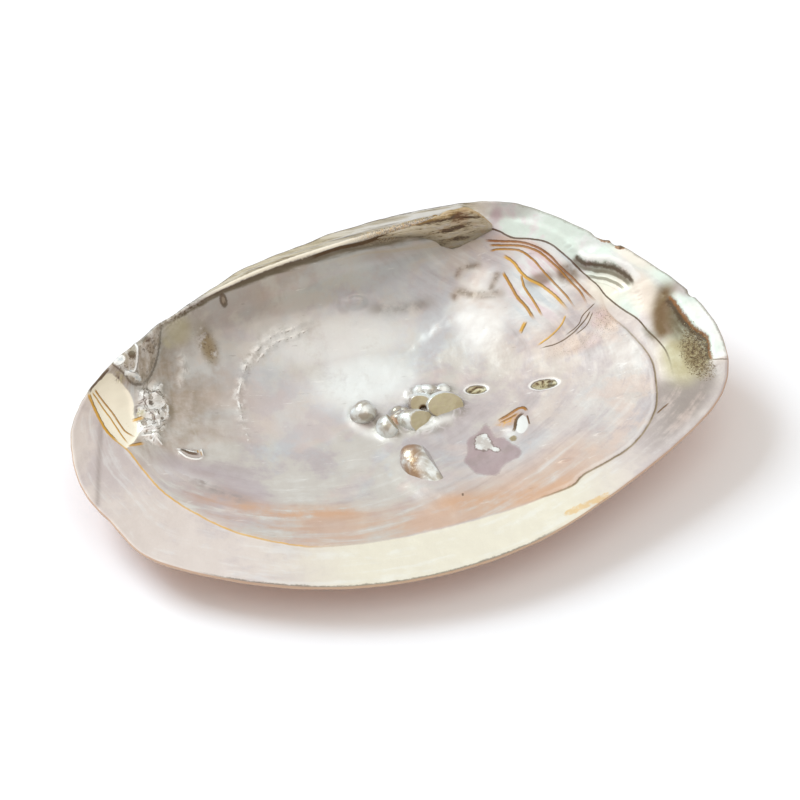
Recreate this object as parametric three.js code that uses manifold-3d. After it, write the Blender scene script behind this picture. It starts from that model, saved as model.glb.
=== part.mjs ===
// Half shell of a freshwater pearl mussel, lying hollow side up, with blister pearls grown on its inside.
// Millimetres, +Z up. The valve is shaped over the plane of its rim (x to the hind end, y to the hinge,
// z out of the hollow), then leaned over until it rests on its belly.

import * as THREE from 'three';
import Module from 'manifold-3d';
import { ParametricGeometry } from 'three/addons/geometries/ParametricGeometry.js';
import { mergeVertices } from 'three/addons/utils/BufferGeometryUtils.js';

// Rim outline: front end, up along the hinge to the tip of the wing, hind end, lower edge
const RIM_POINTS = [
  [-86.3, -1], [-85, 8.5], [-80, 16.8], [-72, 25.3], [-61, 34.3], [-46.5, 44.5], [-29, 52.8],
  [-10, 57.4], [10, 60.3], [27, 60.8], [37.5, 59.3], [46.5, 55.2], [58.5, 45.7], [69, 37.2],
  [78, 26.5], [84.5, 15.5], [87.6, 3], [85.5, -8.5], [78, -18], [64, -28.6], [47, -38.7],
  [25, -48.6], [-2, -53.6], [-28, -52.2], [-52, -45.2], [-71, -35.4], [-79.5, -22.8], [-84.6, -13],
];

// Hollow: where it is deepest, how deep, and how its wall rises to the rim in each direction
// (degrees from the hind end; a higher power is a flatter floor with a steeper wall)
const DEEPEST = new THREE.Vector2(5, 26);
const DEPTH = 20;
const WALL_POWERS = [[15, 1.5], [60, 1.75], [115, 2.2], [175, 2.35], [225, 1.8], [300, 1.65]];

// Wall of the shell
const RIM_THICKNESS = 1.2;
const FRONT_SWELL = 2.6;
const HIND_SWELL = 0.7;
const SWELL_FROM = -80;
const SWELL_TO = 70;
const BEAK = { at: [-40, 40], radii: [22, 16], height: -2.5 };

// Hinge: a crest that stands along the upper edge, higher where the torn ligament clings to it
const CREST_POINTS = [
  [-66, 27], [-58, 33.8], [-49.5, 38.4], [-41, 42.3], [-27, 46.9],
  [-7, 51.2], [12, 54.1], [24.5, 55.4], [33, 55],
];
const CREST_HEIGHT = 0.2;
const CREST_ROUNDING = 1.5;
const CREST_INNER_SLOPE = 2.2;
const CREST_OUTER_SLOPE = 0.5;
const CREST_BLEND = 2;
const CREST_FRONT = [-76, -57];
const CREST_HIND = [26, 40];
const CREST_FRONT_FALL = 6;
const CREST_HIND_FALL = 9;
const LIGAMENT_HEIGHT = 1.6;
const LIGAMENT_FROM = [2, 14];
const LIGAMENT_TO = [23, 34];
const LIGAMENT_WIDTH = 4;
const HINGE_DROP = 2.5;
const HINGE_FRONT = [-70, -54];
const HINGE_HIND = [20, 36];
const HINGE_INNER = [15, 30];
const HINGE_DROP_POWER = 6;

// Front end: the rough tooth under the hinge and the pit where the closing muscle held
const TOOTH = { at: [-62.5, 27.5], radii: [5, 7], height: 2.4 };
const TOOTH_RIDGE = { at: [-66.5, 24.5], radii: [2.6, 6], height: 1.2 };
const MUSCLE_PIT = { at: [-72, 13.5], radii: [7.5, 10.5], height: -1.3 };
const CRUMPLES = [
  { at: [-62, 18], radii: [3.6, 3.2], height: 0.9 },
  { at: [-60.5, 11.5], radii: [3.6, 3.8], height: 0.9 },
  { at: [-55, 0.5], radii: [4, 2.8], height: 0.9 },
];

// Raised creases and folded ledges of the inside, each drawn along a curve
const WRINKLE = {
  points: [[-17.6, 39], [-26.7, 34.7], [-34.3, 29.4], [-38.3, 24.6], [-40.2, 18.9], [-37, 4]],
  width: 2.4, height: 0.8,
};
const WING_FOLD = {
  points: [[50, 44], [55.9, 40], [62.3, 37], [67.2, 32], [68.5, 26.3]],
  width: 2, height: 1.1,
};
const REAR_FOLD = {
  points: [[74.5, 22], [77.6, 19.9], [79.1, 14.1], [82.4, 7.3], [82.9, 0]],
  width: 2, height: 0.8,
};
const MANTLE_LEDGE = {
  points: [[62, 22], [67.1, 13.7], [67.9, -1.3], [64.8, -12.9], [58, -21.8], [48, -25.7], [34.5, -33.6]],
  width: 2.2, height: 0.5,
};
const CREASES = [WRINKLE, WING_FOLD, REAR_FOLD, MANTLE_LEDGE];
const CREASE_SAMPLES = 24;

// Blister pearls: centre, full size and turn about the upright, in degrees
const PEARLS = [
  { at: [-8.1, 8.1, -17.2], size: [5.8, 5.8, 5.6], turn: 0 },
  { at: [-2.9, 2.5, -17], size: [5.3, 6, 5], turn: 20 },
  { at: [4.2, 3.4, -17.2], size: [10.6, 5.6, 4.6], turn: -12 },
  { at: [6.9, 8.1, -17.6], size: [6.4, 5.6, 5.2], turn: 0 },
  { at: [12.8, 6, -16.7], size: [9.4, 6.4, 5.4], turn: -14 },
  { at: [11, 13, -18], size: [8, 5.6, 4.6], turn: 10 },
  { at: [2.4, -11.6, -14], size: [7.2, 7.6, 4.6], turn: 0 },
  { at: [5.4, -17.2, -12.4], size: [8, 4.8, 3], turn: -62 },
];
const PEARL_SIDES = 14;
const PEARL_RINGS = 9;

// Small pits in the floor, cut with flat ellipsoids
const PITS = [
  { at: [22.4, 10.2, -16.2], size: [7, 4.6, 3], turn: -8 },
  { at: [40.1, 6.6, -13], size: [8.4, 4.6, 3], turn: -8 },
  { at: [30.3, -4.6, -12.5], size: [8, 6, 2.6], turn: 30 },
];

// Resting pose: the lean about x lifts the hinge, the lean about y lifts the hind end
const HINGE_LEAN = THREE.MathUtils.degToRad(8);
const HIND_LEAN = THREE.MathUtils.degToRad(1.5);
const BELLY_FLAT = 0.6;

// Facets: steps around the rim, rows across the inside and across the outside
const RIM_STEPS = 108;
const INSIDE_ROWS = 22;
const OUTSIDE_ROWS = 12;
const ROW_CROWDING = 0.85;

const PEARL_LUSTRE = new THREE.MeshStandardMaterial({ color: 0xd6cdc8, roughness: 0.3, metalness: 0 });

const { smoothstep, lerp, degToRad, radToDeg, euclideanModulo } = THREE.MathUtils;
const wasm = await Module();
wasm.setup();

function curveThrough(points, closed) {
  const corners = points.map(([x, y]) => new THREE.Vector3(x, y, 0));
  return new THREE.CatmullRomCurve3(corners, closed, 'catmullrom', 0.5);
}

// Power of the wall's rise in one direction, eased between the two stated directions beside it
function wallPower(angle) {
  const degrees = euclideanModulo(radToDeg(angle) - WALL_POWERS[0][0], 360) + WALL_POWERS[0][0];
  const last = WALL_POWERS.findLastIndex(([direction]) => direction <= degrees);
  const [fromAngle, fromPower] = WALL_POWERS[last];
  const next = WALL_POWERS[(last + 1) % WALL_POWERS.length];
  const toAngle = next[0] > fromAngle ? next[0] : next[0] + 360;
  const ease = (1 - Math.cos(Math.PI * (degrees - fromAngle) / (toAngle - fromAngle))) / 2;
  return lerp(fromPower, next[1], ease);
}

// Rises from 0 to 1 across the first span of x and falls back across the second
function between(x, rise, fall) {
  return smoothstep(x, ...rise) * (1 - smoothstep(x, ...fall));
}

function smoothMax(a, b, blend) {
  const share = THREE.MathUtils.clamp(0.5 + 0.5 * (a - b) / blend, 0, 1);
  return lerp(b, a, share) + blend * share * (1 - share);
}

// A rounded mound, or a pit where its height is below zero
function mound(x, y, { at, radii, height }) {
  const away = Math.hypot((x - at[0]) / radii[0], (y - at[1]) / radii[1]);
  return height * (1 - smoothstep(away, 0.35, 1.25));
}

function bowl(x, y, reach, power, depth) {
  const hinge = between(x, HINGE_FRONT, HINGE_HIND) * smoothstep(y, ...HINGE_INNER);
  return -depth * (1 - reach ** power) - HINGE_DROP * hinge * reach ** HINGE_DROP_POWER;
}

// Height and square-on distance of the hinge crest; the distance is above zero on the hollow's side
const crestLine = curveThrough(CREST_POINTS, false).getPoints(80);

function crestDistance(x, y) {
  const found = crestLine.findIndex((point) => point.x > x);
  const index = found < 0 ? crestLine.length - 1 : Math.max(found, 1);
  const from = crestLine[index - 1];
  const to = crestLine[index];
  const slope = (to.y - from.y) / (to.x - from.x);
  const nearX = THREE.MathUtils.clamp(x, from.x, to.x);
  return (from.y + slope * (nearX - from.x) - y) / Math.hypot(1, slope);
}

function hingeCrest(x, y) {
  const distance = crestDistance(x, y);
  const lean = (CREST_INNER_SLOPE - CREST_OUTER_SLOPE) / 2;
  const spread = (CREST_INNER_SLOPE + CREST_OUTER_SLOPE) / 2;
  const fall = lean * distance + spread * (Math.hypot(distance, CREST_ROUNDING) - CREST_ROUNDING);
  const front = CREST_FRONT_FALL * (1 - smoothstep(x, ...CREST_FRONT));
  const hind = CREST_HIND_FALL * smoothstep(x, ...CREST_HIND);
  const near = 1 - smoothstep(Math.abs(distance), 0, LIGAMENT_WIDTH);
  const ligament = LIGAMENT_HEIGHT * near * between(x, LIGAMENT_FROM, LIGAMENT_TO);
  return CREST_HEIGHT + ligament - fall - front - hind;
}

const creaseLines = CREASES.map((crease) => ({
  ...crease,
  line: curveThrough(crease.points, false).getPoints(CREASE_SAMPLES),
}));

// Height that the creases add at a point; each one thins out towards its two ends
function creaseHeight(x, y) {
  const point = new THREE.Vector3(x, y, 0);
  let height = 0;
  for (const { line, width, height: full } of creaseLines) {
    const distances = line.map((sample) => sample.distanceTo(point));
    const nearest = Math.min(...distances);
    const along = distances.indexOf(nearest) / CREASE_SAMPLES;
    height += full * Math.sin(Math.PI * along) ** 0.5 * (1 - smoothstep(nearest, 0, width));
  }
  return height;
}

function insideHeight(x, y, reach, power) {
  let height = smoothMax(bowl(x, y, reach, power, DEPTH), hingeCrest(x, y), CREST_BLEND);
  for (const feature of [TOOTH, TOOTH_RIDGE, MUSCLE_PIT, ...CRUMPLES]) {
    height += mound(x, y, feature);
  }
  return height + creaseHeight(x, y);
}

function outsideHeight(x, y, reach, power) {
  const swell = lerp(FRONT_SWELL, HIND_SWELL, smoothstep(x, SWELL_FROM, SWELL_TO));
  return bowl(x, y, reach, power, DEPTH + swell) - RIM_THICKNESS + mound(x, y, BEAK);
}

// One skin around the whole valve: out across the inside to the rim, then back across the outside
function valveGeometry() {
  const rim = curveThrough(RIM_POINTS, true);
  const rows = INSIDE_ROWS + 1 + OUTSIDE_ROWS;
  const skin = (u, v, target) => {
    const edge = rim.getPointAt(u % 1);
    const power = wallPower(Math.atan2(edge.y - DEEPEST.y, edge.x - DEEPEST.x));
    const row = Math.round(v * rows);
    const isInside = row <= INSIDE_ROWS;
    const share = isInside ? row / INSIDE_ROWS : (rows - row) / OUTSIDE_ROWS;
    const reach = share ** ROW_CROWDING;
    const x = lerp(DEEPEST.x, edge.x, reach);
    const y = lerp(DEEPEST.y, edge.y, reach);
    const height = isInside ? insideHeight : outsideHeight;
    target.set(x, y, height(x, y, reach, power));
  };
  return new ParametricGeometry(skin, RIM_STEPS, rows);
}

function ellipsoidGeometry({ at, size, turn }) {
  const geometry = new THREE.SphereGeometry(0.5, PEARL_SIDES, PEARL_RINGS);
  geometry.rotateX(Math.PI / 2);
  geometry.scale(...size);
  geometry.rotateZ(degToRad(turn));
  return geometry.translate(...at);
}

function solidFrom(geometry) {
  geometry.deleteAttribute('normal');
  geometry.deleteAttribute('uv');
  const merged = mergeVertices(geometry, 1e-4);
  const corners = merged.index.array;
  const triVerts = [];
  for (let first = 0; first < corners.length; first += 3) {
    const [a, b, c] = corners.slice(first, first + 3);
    if (a !== b && b !== c && c !== a) {
      triVerts.push(a, b, c);
    }
  }
  const vertProperties = new Float32Array(merged.attributes.position.array);
  return new wasm.Manifold(new wasm.Mesh({ numProp: 3, vertProperties, triVerts: new Uint32Array(triVerts) }));
}

function geometryFrom(solid) {
  const { vertProperties, triVerts } = solid.getMesh();
  const geometry = new THREE.BufferGeometry();
  geometry.setAttribute('position', new THREE.BufferAttribute(vertProperties, 3));
  geometry.setIndex(new THREE.BufferAttribute(triVerts, 1));
  return geometry;
}

// Leans a shape made over the rim plane into the resting pose
function leaned(geometry) {
  return geometry.rotateY(-HIND_LEAN).rotateX(HINGE_LEAN);
}

// The floor under the belly: everything up to a little above its lowest point
function floorGeometry(lowest) {
  const span = 400;
  const floor = new THREE.BoxGeometry(span, span, span);
  return floor.translate(0, 0, lowest + BELLY_FLAT - span / 2);
}

function shellGeometry() {
  const valve = leaned(valveGeometry());
  valve.computeBoundingBox();
  const lowest = valve.boundingBox.min.z;
  let solid = solidFrom(valve);
  for (const pearl of PEARLS) {
    solid = solid.add(solidFrom(leaned(ellipsoidGeometry(pearl))));
  }
  for (const pit of PITS) {
    solid = solid.subtract(solidFrom(leaned(ellipsoidGeometry(pit))));
  }
  const geometry = geometryFrom(solid.subtract(solidFrom(floorGeometry(lowest))));
  geometry.computeBoundingBox();
  const middle = geometry.boundingBox.getCenter(new THREE.Vector3());
  return geometry.translate(-middle.x, -middle.y, -geometry.boundingBox.min.z);
}

const shell = new THREE.Mesh(shellGeometry(), PEARL_LUSTRE);
shell.name = 'shell';

const part = new THREE.Group();
part.add(shell);

export default part;
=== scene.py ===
"""Looks of a freshwater pearl mussel's half shell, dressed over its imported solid.

The valve is shaped in millimetres over the plane of its rim: x to the hind end, y to the hinge, z out of the
hollow. It is then leaned into the pose in which it rests and scaled to metres.
"""

import math
from functools import partial

import bmesh
import bpy
import numpy as np
from mathutils import Euler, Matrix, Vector


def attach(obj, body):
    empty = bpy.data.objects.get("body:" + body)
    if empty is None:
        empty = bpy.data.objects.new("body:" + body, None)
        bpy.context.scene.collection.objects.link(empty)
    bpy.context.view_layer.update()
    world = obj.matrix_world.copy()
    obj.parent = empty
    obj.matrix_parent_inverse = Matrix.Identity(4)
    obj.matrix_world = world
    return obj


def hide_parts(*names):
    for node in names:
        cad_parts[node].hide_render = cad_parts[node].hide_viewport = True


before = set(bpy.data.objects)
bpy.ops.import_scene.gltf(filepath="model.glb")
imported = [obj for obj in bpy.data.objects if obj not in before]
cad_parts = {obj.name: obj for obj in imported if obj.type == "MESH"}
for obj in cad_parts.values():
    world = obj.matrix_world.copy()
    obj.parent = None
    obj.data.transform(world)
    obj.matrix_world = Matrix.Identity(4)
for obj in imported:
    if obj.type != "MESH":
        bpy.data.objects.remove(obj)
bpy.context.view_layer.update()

bl_info = {
    "name": "Pearl mussel half shell",
    "version": (1, 0, 0),
    "blender": (4, 5, 0),
    "location": "3D View > Sidebar > Shell",
    "description": "Dresses the packed half shell of a freshwater pearl mussel",
    "category": "Object",
}

MM = 0.001
NODE = "shell"
BODY = "root"

# Rim outline: front end, up along the hinge to the tip of the wing, hind end, lower edge
RIM_POINTS = [
    (-86.3, -1), (-85, 8.5), (-80, 16.8), (-72, 25.3), (-61, 34.3), (-46.5, 44.5), (-29, 52.8),
    (-10, 57.4), (10, 60.3), (27, 60.8), (37.5, 59.3), (46.5, 55.2), (58.5, 45.7), (69, 37.2),
    (78, 26.5), (84.5, 15.5), (87.6, 3), (85.5, -8.5), (78, -18), (64, -28.6), (47, -38.7),
    (25, -48.6), (-2, -53.6), (-28, -52.2), (-52, -45.2), (-71, -35.4), (-79.5, -22.8), (-84.6, -13),
]
RIM_SAMPLES = 2240

# Chips out of the rim: where, how deep and how wide
RIM_CHIPS = [
    ((-49, 42.8), 2.2, 12), ((-27, 53.4), 1.5, 14), ((62.5, 43), 0.5, 2.2), ((66, 40.2), 0.5, 1.3),
    ((82.3, 20), 0.6, 1.2),
]
RIM_WAVER = [(9, 0, 0.12), (23, 1, 0.05), (57, 2, 0.03)]

# Hollow: where it is deepest, and how the wall rises to the rim in each direction, as in the solid
DEEPEST = (5, 26)
WALL_POWERS = [(15, 1.5), (60, 1.75), (115, 2.2), (175, 2.35), (225, 1.8), (300, 1.65)]
FRONT_SWELL = 2.6
HIND_SWELL = 0.7
SWELL_SPAN = (-80, 70)
BEAK = (-40, 40)

# Hinge: the crest line, its slopes, and the stretch along which the rim drops beside it
CREST_POINTS = [
    (-66, 27), (-58, 33.8), (-49.5, 38.4), (-41, 42.3), (-27, 46.9), (-7, 51.2), (12, 54.1), (24.5, 55.4),
    (33, 55),
]
CREST_HEIGHT = 0.4
CREST_ROUNDING = 0.7
CREST_INNER_SLOPE = 2.2
CREST_OUTER_SLOPE = 0.5
CREST_BLEND = 2
CREST_FRONT = (-76, -57)
CREST_HIND = (26, 40)
CREST_FRONT_FALL = 6
CREST_HIND_FALL = 9
HINGE_DROP = 2.5
HINGE_FRONT = (-70, -54)
HINGE_HIND = (20, 36)
HINGE_INNER = (15, 30)

# Thin raised layer below the crest: how far down, how wide, how high and along which stretch
LAYER_DROP = 4.2
LAYER_WIDTH = 0.5
LAYER_HEIGHT = 0.7
LAYER_FRONT = (-50, -30)
LAYER_HIND = (10, 25)

# How far the painted shade under the crest reaches down, along x
CREST_SHADE_REACH = [(-66, 0.7), (-40, 1.1), (-20, 1.6), (-7, 1.8), (14, 2.8), (30, 3.4)]

# Mantle line: the closed curve that parts the lined floor from the smooth margin
MANTLE = [
    (-79.5, 16.5), (-78.7, 13.5), (-77.6, 9.9), (-76.1, 6.4), (-73.7, 3.1), (-71.7, 1), (-68.6, -5.2),
    (-64, -13.5), (-56, -21.5), (-46.5, -29), (-34.5, -34.5), (-27, -36.5), (-11.6, -37.1), (4.1, -36.2),
    (20, -34.6), (30.9, -32.8), (39.7, -30.9), (42.9, -28.2), (50.7, -25.3), (55.8, -22.9), (60.6, -19),
    (64.4, -13.7), (66.7, -8.9), (68.4, 0.9), (67.9, 7.1), (64.4, 15.7), (60.1, 23.6), (57, 40), (40, 54),
    (10, 56), (-30, 48), (-60, 33), (-72, 25), (-77, 21),
]

# Growth lines of the fan under the wing: points, width and tone from yellow (0) to dark brown (1)
FAN_LINES = [
    ([(31, 52), (34, 53), (36.4, 51.9), (39.6, 49.3), (44.3, 47.4), (48.8, 44.7), (53.6, 38.9), (58.9, 31.2),
      (60.8, 27.1), (64.3, 22.1), (67.5, 18), (69.3, 13.8), (71.5, 9.4), (72.7, 4.7), (72.6, -3.7)],
     0.2, 0.95),
    ([(32, 51), (36, 49.6), (41.2, 47.7), (45.2, 45.1), (48.3, 41.9), (50.7, 38.1), (53.3, 34.7),
      (55.9, 29.7), (58.3, 25.7)], 0.27, 0.6),
    ([(33, 49.5), (35.9, 48.6), (41.4, 46.6), (45.4, 43.9), (48, 40.7), (50.2, 37.7), (52.6, 33.6),
      (54.6, 29.8), (55.6, 25.7)], 0.27, 0.45),
    ([(33, 48), (35.7, 47.7), (40.8, 45.6), (43.8, 42.3), (45.5, 39.3), (48.3, 34.6), (50.7, 30.4),
      (52.5, 26)], 0.26, 0.4),
    ([(36.3, 45.9), (38.6, 43.4), (40.2, 40.1), (42, 37.6), (44.8, 35.2), (48.1, 31), (50.7, 26)],
     0.38, 0.12),
    ([(40.1, 39.5), (40.4, 36.1), (42, 32.1), (43.7, 26.7)], 0.3, 0.3),
    ([(35.5, 41.7), (36.7, 38.2), (38.2, 34), (39.9, 30.9), (41.5, 26.5)], 0.4, 0.35),
    ([(39, 27), (37, 24.5)], 0.5, 0.1),
    ([(49.5, 25.4), (47.9, 23.1), (44.4, 20.9), (40.5, 19.4)], 0.26, 0.1),
    ([(57.7, 26.1), (53.9, 23.9), (52.2, 21.7), (48.2, 19.8)], 0.14, 0.9),
    ([(56, 24.4), (54.1, 22.4), (50, 19.7), (45.7, 18.4), (40.8, 18.5)], 0.17, 0.9),
    ([(56.6, 23.9), (54.3, 20.9), (50.8, 19.2)], 0.13, 0.9),
]

# Other thin lines: edges of the muscle scar and of the broken blister, stray marks, the hinge's groove
STAIN_LINES = [
    ([(-77.7, 17.8), (-76.7, 16), (-74.6, 13), (-73.1, 10), (-71.6, 7.1), (-69, 5)], 0.24, 0.35),
    ([(-78.5, 17), (-77, 14.4), (-74.7, 10.2), (-72.9, 6.3), (-71.1, 2.8)], 0.2, 0.2),
    ([(-79.5, 16.5), (-78.7, 13.5), (-77.6, 9.9), (-76.1, 6.4), (-73.7, 3.1)], 0.4, 0.2),
    ([(-73.4, 23.3), (-74, 22.5), (-76, 20.5), (-78.4, 18.2), (-79.4, 16.6)], 0.34, 0.95),
    ([(26.1, -1.9), (29, -0.7), (31.7, 0.7), (33.3, 0.7), (34, -0.9)], 0.42, 0.5),
    ([(32.7, -1), (30.6, -3.1), (29.6, -6), (28.9, -7.2)], 0.4, 0.85),
    ([(33.6, -2.2), (33.5, -5.9)], 0.22, 0.8),
    ([(26.4, -2.9), (29.2, -2.2), (31.4, -1)], 0.3, 0.45),
    ([(11.5, -26), (12.1, -26)], 0.4, 1),
    ([(83, -1), (87, -2.5)], 0.14, 0.9),
    ([(65.9, -12.9), (69.4, -10.5)], 0.22, 0.8),
    ([(-58.1, 1.2), (-55.8, -0.5), (-53.5, -0.9)], 0.34, 0.95),
    ([(-69.2, 10.4), (-66.3, 11)], 0.45, 0.15),
    ([(-71.2, 2.2), (-67.2, 3.2)], 0.45, 0.3),
    ([(-16.1, 48.7), (-8.3, 50.4), (-1.4, 51.3), (4.2, 52.3), (12.5, 52.8), (19.4, 53)], 0.24, 0.95),
]
LINE_FADE = (1.1, 1.6)

# Folds of the wing, with the rim on the left of their direction of travel
WING_FOLD = [(55, 40.1), (56.5, 37.9), (58.9, 36.6), (62.7, 35), (65.9, 32.5), (68.1, 29.6), (68.6, 26.9)]
REAR_FOLD = [
    (76.1, 21.6), (77.8, 18.4), (78.8, 15.1), (80.3, 10.9), (81.9, 8.4), (83.4, 5.6), (83, 1.6), (83.1, -1.4),
]

# Painted brown shade that runs down the wing between its two folds
WING_SHADE = [(78, 26.5), (76.4, 23.6), (74.6, 20.9), (73.2, 17.6), (72.6, 13.5), (73, 11), (73.9, 7.9)]

# Wrinkle on the front wall with its branch, and the edge of the tooth
WRINKLE = [
    (-18, 38.5), (-23.5, 36.5), (-28.5, 35), (-33, 31.5), (-37, 27), (-39, 22.5), (-40.5, 17.5), (-40.5, 9),
    (-39, -1.5),
]
WRINKLE_BRANCH = [(-18, 37), (-22, 35), (-27, 33.6), (-31, 31), (-35, 27)]
TOOTH_RIDGE = [(-65.7, 30.8), (-65.1, 28.3), (-65.2, 26.4), (-66.3, 22.9), (-67.4, 21.4)]

# Patches with a clear edge
TOOTH = [
    (-57.9, 34.6), (-58.4, 32.5), (-59.6, 29.2), (-61.5, 25), (-63.6, 21.6), (-65.4, 20.2), (-68, 20.2),
    (-69.6, 22.3), (-71, 23.6), (-72, 24.5), (-68.7, 28), (-65.3, 31), (-61, 33.8),
]
MUSCLE_SCAR = [
    (-79.3, 16.7), (-73.8, 22), (-71.4, 21), (-69, 18.1), (-68.2, 15), (-68.6, 11), (-67.4, 8.1),
    (-68.8, 4.8), (-71.8, 1.4), (-73.7, 3.2), (-76.1, 6.5), (-77.6, 10), (-78.7, 13.6),
]
LILAC_SCAR = [
    (22.6, -1.6), (20.9, -3.7), (19.3, -5), (16.9, -6.4), (15.8, -11.2), (14.5, -13.7), (15.6, -16.8),
    (17.4, -19.5), (21.7, -21), (23.4, -19.1), (26.1, -17.2), (29, -16.2), (29.7, -14.1), (28, -11.2),
    (25.9, -8.2), (24.1, -7.6), (23.4, -4.1),
]
WHITE_SCAR = [
    (19.4, -5.7), (21.7, -5.5), (22.6, -8.1), (23.1, -10.6), (24.6, -12.4), (23.6, -12.9), (21.7, -11.1),
    (20.9, -11.6), (18.5, -10.1), (18.7, -7.4),
]
BROKEN_BLISTER = [(31.9, -1.6), (33.3, -3), (33.4, -5.8), (31.5, -8.5), (29.7, -7.5), (30.2, -4.3)]

# Thin raised lines: points, height, width and raggedness
RIDGES = [
    (TOOTH_RIDGE, 0.9, 0.6, 0),
    ([(-69.4, 22.2), (-67.5, 21.2), (-66, 21.4)], 1.0, 0.9, 0),
    (WRINKLE, 0.5, 0.8, 0.4),
    (WRINKLE_BRANCH, 0.4, 0.7, 0.4),
    ([(-62.4, 16.8), (-61.2, 19), (-59.8, 21.4)], 1.5, 1.0, 0.1),
    ([(-59.6, 19.1), (-59.5, 14.6), (-60, 10.9), (-62.2, 8.3)], 1.0, 0.7, 0.2),
    ([(-66.4, 18.6), (-64.7, 17.8), (-63.9, 16.2)], 1.1, 1.0, 0.2),
    ([(-63.3, 13.2), (-62.3, 10.8)], 1.0, 0.7, 0.1),
    ([(-63.4, 8.9), (-63.8, 3.9)], 0.9, 0.7, 0.1),
    ([(-63.7, 4.6), (-62.4, 2.5)], 0.6, 0.6, 0),
    ([(-67.4, 7.4), (-64.3, 7.6)], 0.4, 0.6, 0),
    ([(-67.6, 5.6), (-64.6, 5.7)], 0.4, 0.6, 0),
    ([(-58.9, 1.5), (-57.1, 0.8), (-54.9, -0.2), (-53.4, -0.4)], 0.5, 0.6, 0),
    ([(-58.7, 0.8), (-56.9, -1.5), (-54.4, -2.3), (-52.5, -1.7)], 0.4, 0.6, 0),
    ([(-52.6, 1.2), (-52.4, -1.4)], 0.7, 0.7, 0),
]

# Mounds and hollows: centre, radii, height
FLOOR_FORMS = [
    ((1, 6), (15, 8), -0.6),
    ((-55.5, -0.3), (3.4, 1.8), 0.6),
    ((-63.5, 12), (4, 8), 1.0),
    ((28, 40), (8, 6), 0.4),
    ((-4.5, 42.4), (3, 1.6), 0.9),
    ((-24.4, 42.8), (0.9, 0.9), 0.7),
    ((-8.2, 42.2), (1.6, 2), 0.6),
    ((-40.5, 40.6), (1.1, 1.1), 0.4),
    ((30.3, -4.6), (4.4, 4), 0.5),
    ((50.3, -15), (1.6, 0.6), 0.35),
    ((39.5, -21.5), (1.8, 0.6), 0.35),
    ((58.3, -4), (1.4, 0.6), 0.3),
    ((-53.6, 27.2), (0.9, 2.4), 0.35),
    ((-54.6, 22.6), (0.8, 1.8), 0.3),
]
PITS = [((22.4, 10.4), (3.2, 1.7), -12), ((40.1, 6.9), (4, 1.9), -10)]
PIT_DEPTH = 0.9
PIT_LIP = 0.3

# Steps in the nacre: the tooth, the muscle scar, the mantle line, and each fold's ledge and hollow
TOOTH_HEIGHT = 2
SCAR_DEPTH = 0.5
MANTLE_STEP = 0.5
WING_FOLD_FORM = (1.2, 1.1)
REAR_FOLD_FORM = (0.9, 0.9)
PLEAT_HEIGHT = 0.16
PLEAT_RATE = 3.6

# Soft patches of colour, each of one or more mounds: strength, centre, radii, turn
SPOTS = {
    "lilac_rim": [(1, (36, 58.5), (16, 5), -16)],
    "purple": [(1, (36.3, 56), (2, 1.8)), (1, (80.4, 22), (4, 2.4), -48)],
    "swell": [(1, (70.6, 24), (4.4, 9), 20), (0.7, (70, 35), (8, 4), -45)],
    "fan": [(1, (45, 37), (11, 14), -32)],
    "smoke": [(1, (52, 36), (3.6, 3), -45), (0.7, (45, 36.8), (5, 2), -6)],
    "grey_spot": [(1, (69.4, 13), (1, 3), 25)],
    "pocket": [(1, (62.5, 30), (6.5, 7), -40)],
    "grit": [(1, (79.9, 2.8), (3.6, 8.8), 4)],
    "khaki": [(1, (75.8, 3), (6.2, 10))],
    "hollow": [(1, (76.4, 14.6), (3.6, 8), 16)],
    "blister_peach": [(1, (28.8, -2.4), (3.8, 2.4), 20)],
    "blister_blot": [(1, (28.5, -9.4), (1, 1.2))],
    "stain": [(1, (-46.3, 31.5), (2.8, 5), 10)],
    "yellow": [(1, (-53.8, 33.9), (4.4, 3), 30), (1, (-57, 31.1), (1.4, 1.1))],
    "mint_patch": [(1, (-70.3, 25.4), (1.9, 1.5), 40), (1, (-66.9, 21.3), (2, 0.8), -24)],
    "crumbs": [(1, (-67, 12.6), (1.6, 2.8)), (1, (-70.8, 21.4), (1.5, 1.5))],
    "holes": [(1, (-63.6, 15.2), (1, 1)), (1, (-66.8, 26.6), (1.3, 2), 20), (0.8, (-62.6, 30.2), (2, 1.6))],
    "drips": [(1, (-53.6, 26.4), (1.6, 4.6)), (1, (-54.8, 22.4), (1.3, 3))],
    # The pale spot is a painted highlight on the floor beside the pearls
    "pale": [(1, (-7, 20), (17, 12)), (0.8, (-12, 33), (26, 9))],
    "front_wall_shade": [(0.4, (-32, 43), (26, 7), 16)],
    "pad": [(1, (27.5, 33), (8, 12), -6)],
    "blush": [(0.7, (-26, 12), (15, 12))],
    "crumple": [(1, (-63.8, 12.5), (4.2, 10.5), -8)],
    "pink": [(1, (59.5, 20.5), (5, 4), -35), (0.5, (52, 16.5), (11, 3), 4)],
    "flecks": [(1, (63, 41.8), (3.2, 1.4), -38), (1, (66.6, 38.2), (2.2, 0.9), -20)],
    "cold": [(1, (-50, -14), (22, 9), -38)],
}

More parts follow.
